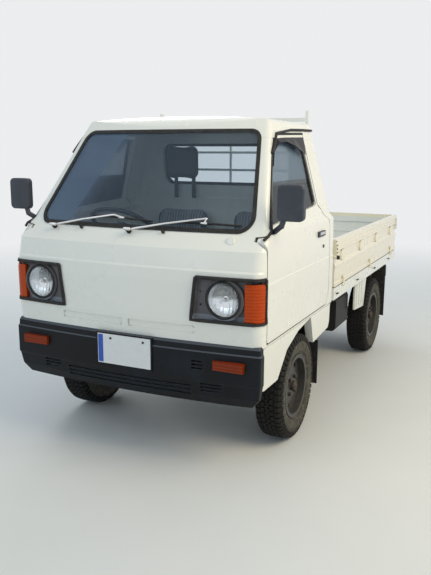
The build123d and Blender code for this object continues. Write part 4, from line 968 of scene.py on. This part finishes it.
        # y behind the front axle and z along its upper and its lower edge
        top = ((-0.222, 1.452), (-0.168, 1.530), (-0.096, 1.586), (0.020, 1.592), (0.160, 1.596),
               (0.328, 1.600))
        low = ((-0.214, 1.450), (-0.156, 1.520), (-0.084, 1.566), (0.020, 1.571), (0.130, 1.550),
               (0.262, 1.508))
        for word, side in SIDES:
            skin = Skin("door_" + word, "door_" + word + "_glass")
            points = [(skin.side(y, z, side) + side * 0.003, at(y), z) for y, z in top]
            points += [(skin.side(y, z, side) + side * stand, at(y), z) for (y, z), stand in
                       reversed(list(zip(low, (0.004, 0.012, 0.022, 0.028, 0.032, 0.034))))]
            shield = trace("rain_shield_" + word, points, closed=True)
            every()
            bpy.ops.mesh.quads_convert_to_tris()
            done(shield)
            modified(shield, "SOLIDIFY", thickness=0.002, offset=0.0)
            fitted(shield, "door_" + word, "smoked_plastic")

    def handles(self):
        """Bright flap and lock barrel of each door."""
        for word, side in SIDES:
            skin = Skin("door_" + word)
            x = skin.side(0.292, 1.100, side)
            flap = box("door_handle_" + word, (x + side * 0.008, at(0.300), 1.080), (0.008, 0.088, 0.017))
            fitted(bevelled(flap, 0.003), "door_" + word, "silver_metal")
            x = skin.side(0.345, 0.985, side)
            barrel = rod("door_lock_" + word, (x + side * 0.0005, at(0.345), 1.003), 0.0065, 0.008)
            fitted(bevelled(barrel, 0.0015, 2), "door_" + word, "silver_metal")

    def plate(self):
        """Blue strip and two bolts of the front plate."""
        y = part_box("number_plates")[0].y
        strip = box("plate_strip", (-0.133, y - 0.0004, PLATE_Z), (0.028, 0.0016, 0.140))
        fitted(bevelled(strip, 0.0005, 1), "body", "plate_blue")
        bolts = [bevelled(rod("bolt", (x, y - 0.001, PLATE_Z + 0.055), 0.006, 0.005, 16,
                              (math.pi / 2, 0.0, 0.0)), 0.0015, 2) for x in (-0.075, 0.110)]
        fitted(joined("plate_bolts", bolts), "body", "dark_plastic")


class TRUCK_OT_studio(bpy.types.Operator):
    """Set the pale floor, the soft lamps and the camera"""
    bl_idname = "truck.studio"
    bl_label = "Studio"

    def execute(self, context):
        studio = context.scene.truck_studio
        self.floor()
        self.sky(context.scene, studio.sky)
        self.lamp("key_lamp", (4.5, -1.5, 4.2), (0.3, 0.0, 0.8), 3.2, studio.key, (1.0, 0.85, 0.58))
        self.lamp("fill_lamp", (-2.6, -6.0, 3.6), (0.0, -0.6, 0.9), 3.6, studio.fill, (0.80, 0.91, 1.0))
        self.lamp("back_lamp", (-3.6, 4.6, 4.0), (0.0, 0.8, 0.9), 3.0, 90.0, (1.0, 1.0, 1.0))
        camera = bpy.data.objects.new("camera", bpy.data.cameras.new("camera"))
        context.scene.collection.objects.link(camera)
        camera.data.lens = studio.camera_lens
        camera.location = studio.camera_place
        down, aside, roll = (math.radians(angle) for angle in (11.2, 25.2, 0.3))
        turn = Euler((math.pi / 2 - down, 0.0, aside)).to_matrix() @ Matrix.Rotation(roll, 3, "Z")
        camera.rotation_euler = turn.to_euler()
        context.scene.camera = camera
        context.scene.view_settings.view_transform = "Standard"
        return {"FINISHED"}

    def floor(self):
        """Pale ground that turns into the backdrop's plain colour far out."""
        bpy.ops.mesh.primitive_plane_add(size=60.0, location=(0.0, 0.0, -0.0005))
        floor = bpy.context.object
        floor.name = "floor"
        s = Surface("floor", Roughness=0.7)
        s.set(Base_Color=s.blend(s.noise(3.0, 4.0), (0.70, 0.70, 0.695), (0.74, 0.74, 0.735)))
        reach = s.node("ShaderNodeVectorMath", {0: s.place}, "Value", operation="LENGTH")
        white = s.node("ShaderNodeEmission", {"Color": BACKDROP, "Strength": 1.0})
        s.show(s.step(reach, 2.6, 8.0) * s.seen(), Signal(s, s.shader.outputs[0]), white)
        finish(floor, s)

    def sky(self, scene, strength):
        """Even bluish light, seen and mirrored as the backdrop's plain colour."""
        world = bpy.data.worlds.new("sky")
        scene.world = world
        world.use_nodes = True
        s = Nodes(world.node_tree)
        even = s.node("ShaderNodeBackground", {"Color": (0.78, 0.91, 1.0), "Strength": strength})
        plain = s.node("ShaderNodeBackground", {"Color": BACKDROP})
        s.show(s.seen(), even, plain, "World Output")

    def lamp(self, name, place, target, size, power, tint):
        """Square lamp that looks from its place at a target."""
        data = bpy.data.lights.new(name, "AREA")
        data.energy, data.size, data.color = power, size, tint
        lamp = bpy.data.objects.new(name, data)
        bpy.context.scene.collection.objects.link(lamp)
        lamp.location = place
        lamp.rotation_euler = (Vector(target) - Vector(place)).to_track_quat("-Z", "Y").to_euler()


class TRUCK_PT_panel(bpy.types.Panel):
    """Steps that dress the truck, in order"""
    bl_idname = "TRUCK_PT_panel"
    bl_label = "Truck"
    bl_space_type = "VIEW_3D"
    bl_region_type = "UI"
    bl_category = "Truck"

    def draw(self, context):
        column = self.layout.column()
        for word, group in GROUPS.items():
            for name in group.__annotations__:
                column.prop(getattr(context.scene, word), name)
        for step in STEPS:
            column.operator(step.bl_idname)


STEPS = (TRUCK_OT_finishes, TRUCK_OT_tyres, TRUCK_OT_headlamps, TRUCK_OT_seats, TRUCK_OT_wipers,
         TRUCK_OT_fittings, TRUCK_OT_studio)
GROUPS = {"truck_paints": TruckPaints, "truck_sizes": TruckSizes, "truck_studio": TruckStudio}


def register():
    for name, group in GROUPS.items():
        bpy.utils.register_class(group)
        setattr(bpy.types.Scene, name, PointerProperty(type=group))
    for cls in (*STEPS, TRUCK_PT_panel):
        bpy.utils.register_class(cls)


def unregister():
    for cls in (TRUCK_PT_panel, *reversed(STEPS)):
        bpy.utils.unregister_class(cls)
    for name, group in GROUPS.items():
        delattr(bpy.types.Scene, name)
        bpy.utils.unregister_class(group)


def main():
    """Run every step in order."""
    register()
    for step in STEPS:
        getattr(bpy.ops.truck, step.bl_idname.split(".")[1])()


if __name__ == "__main__":
    main()
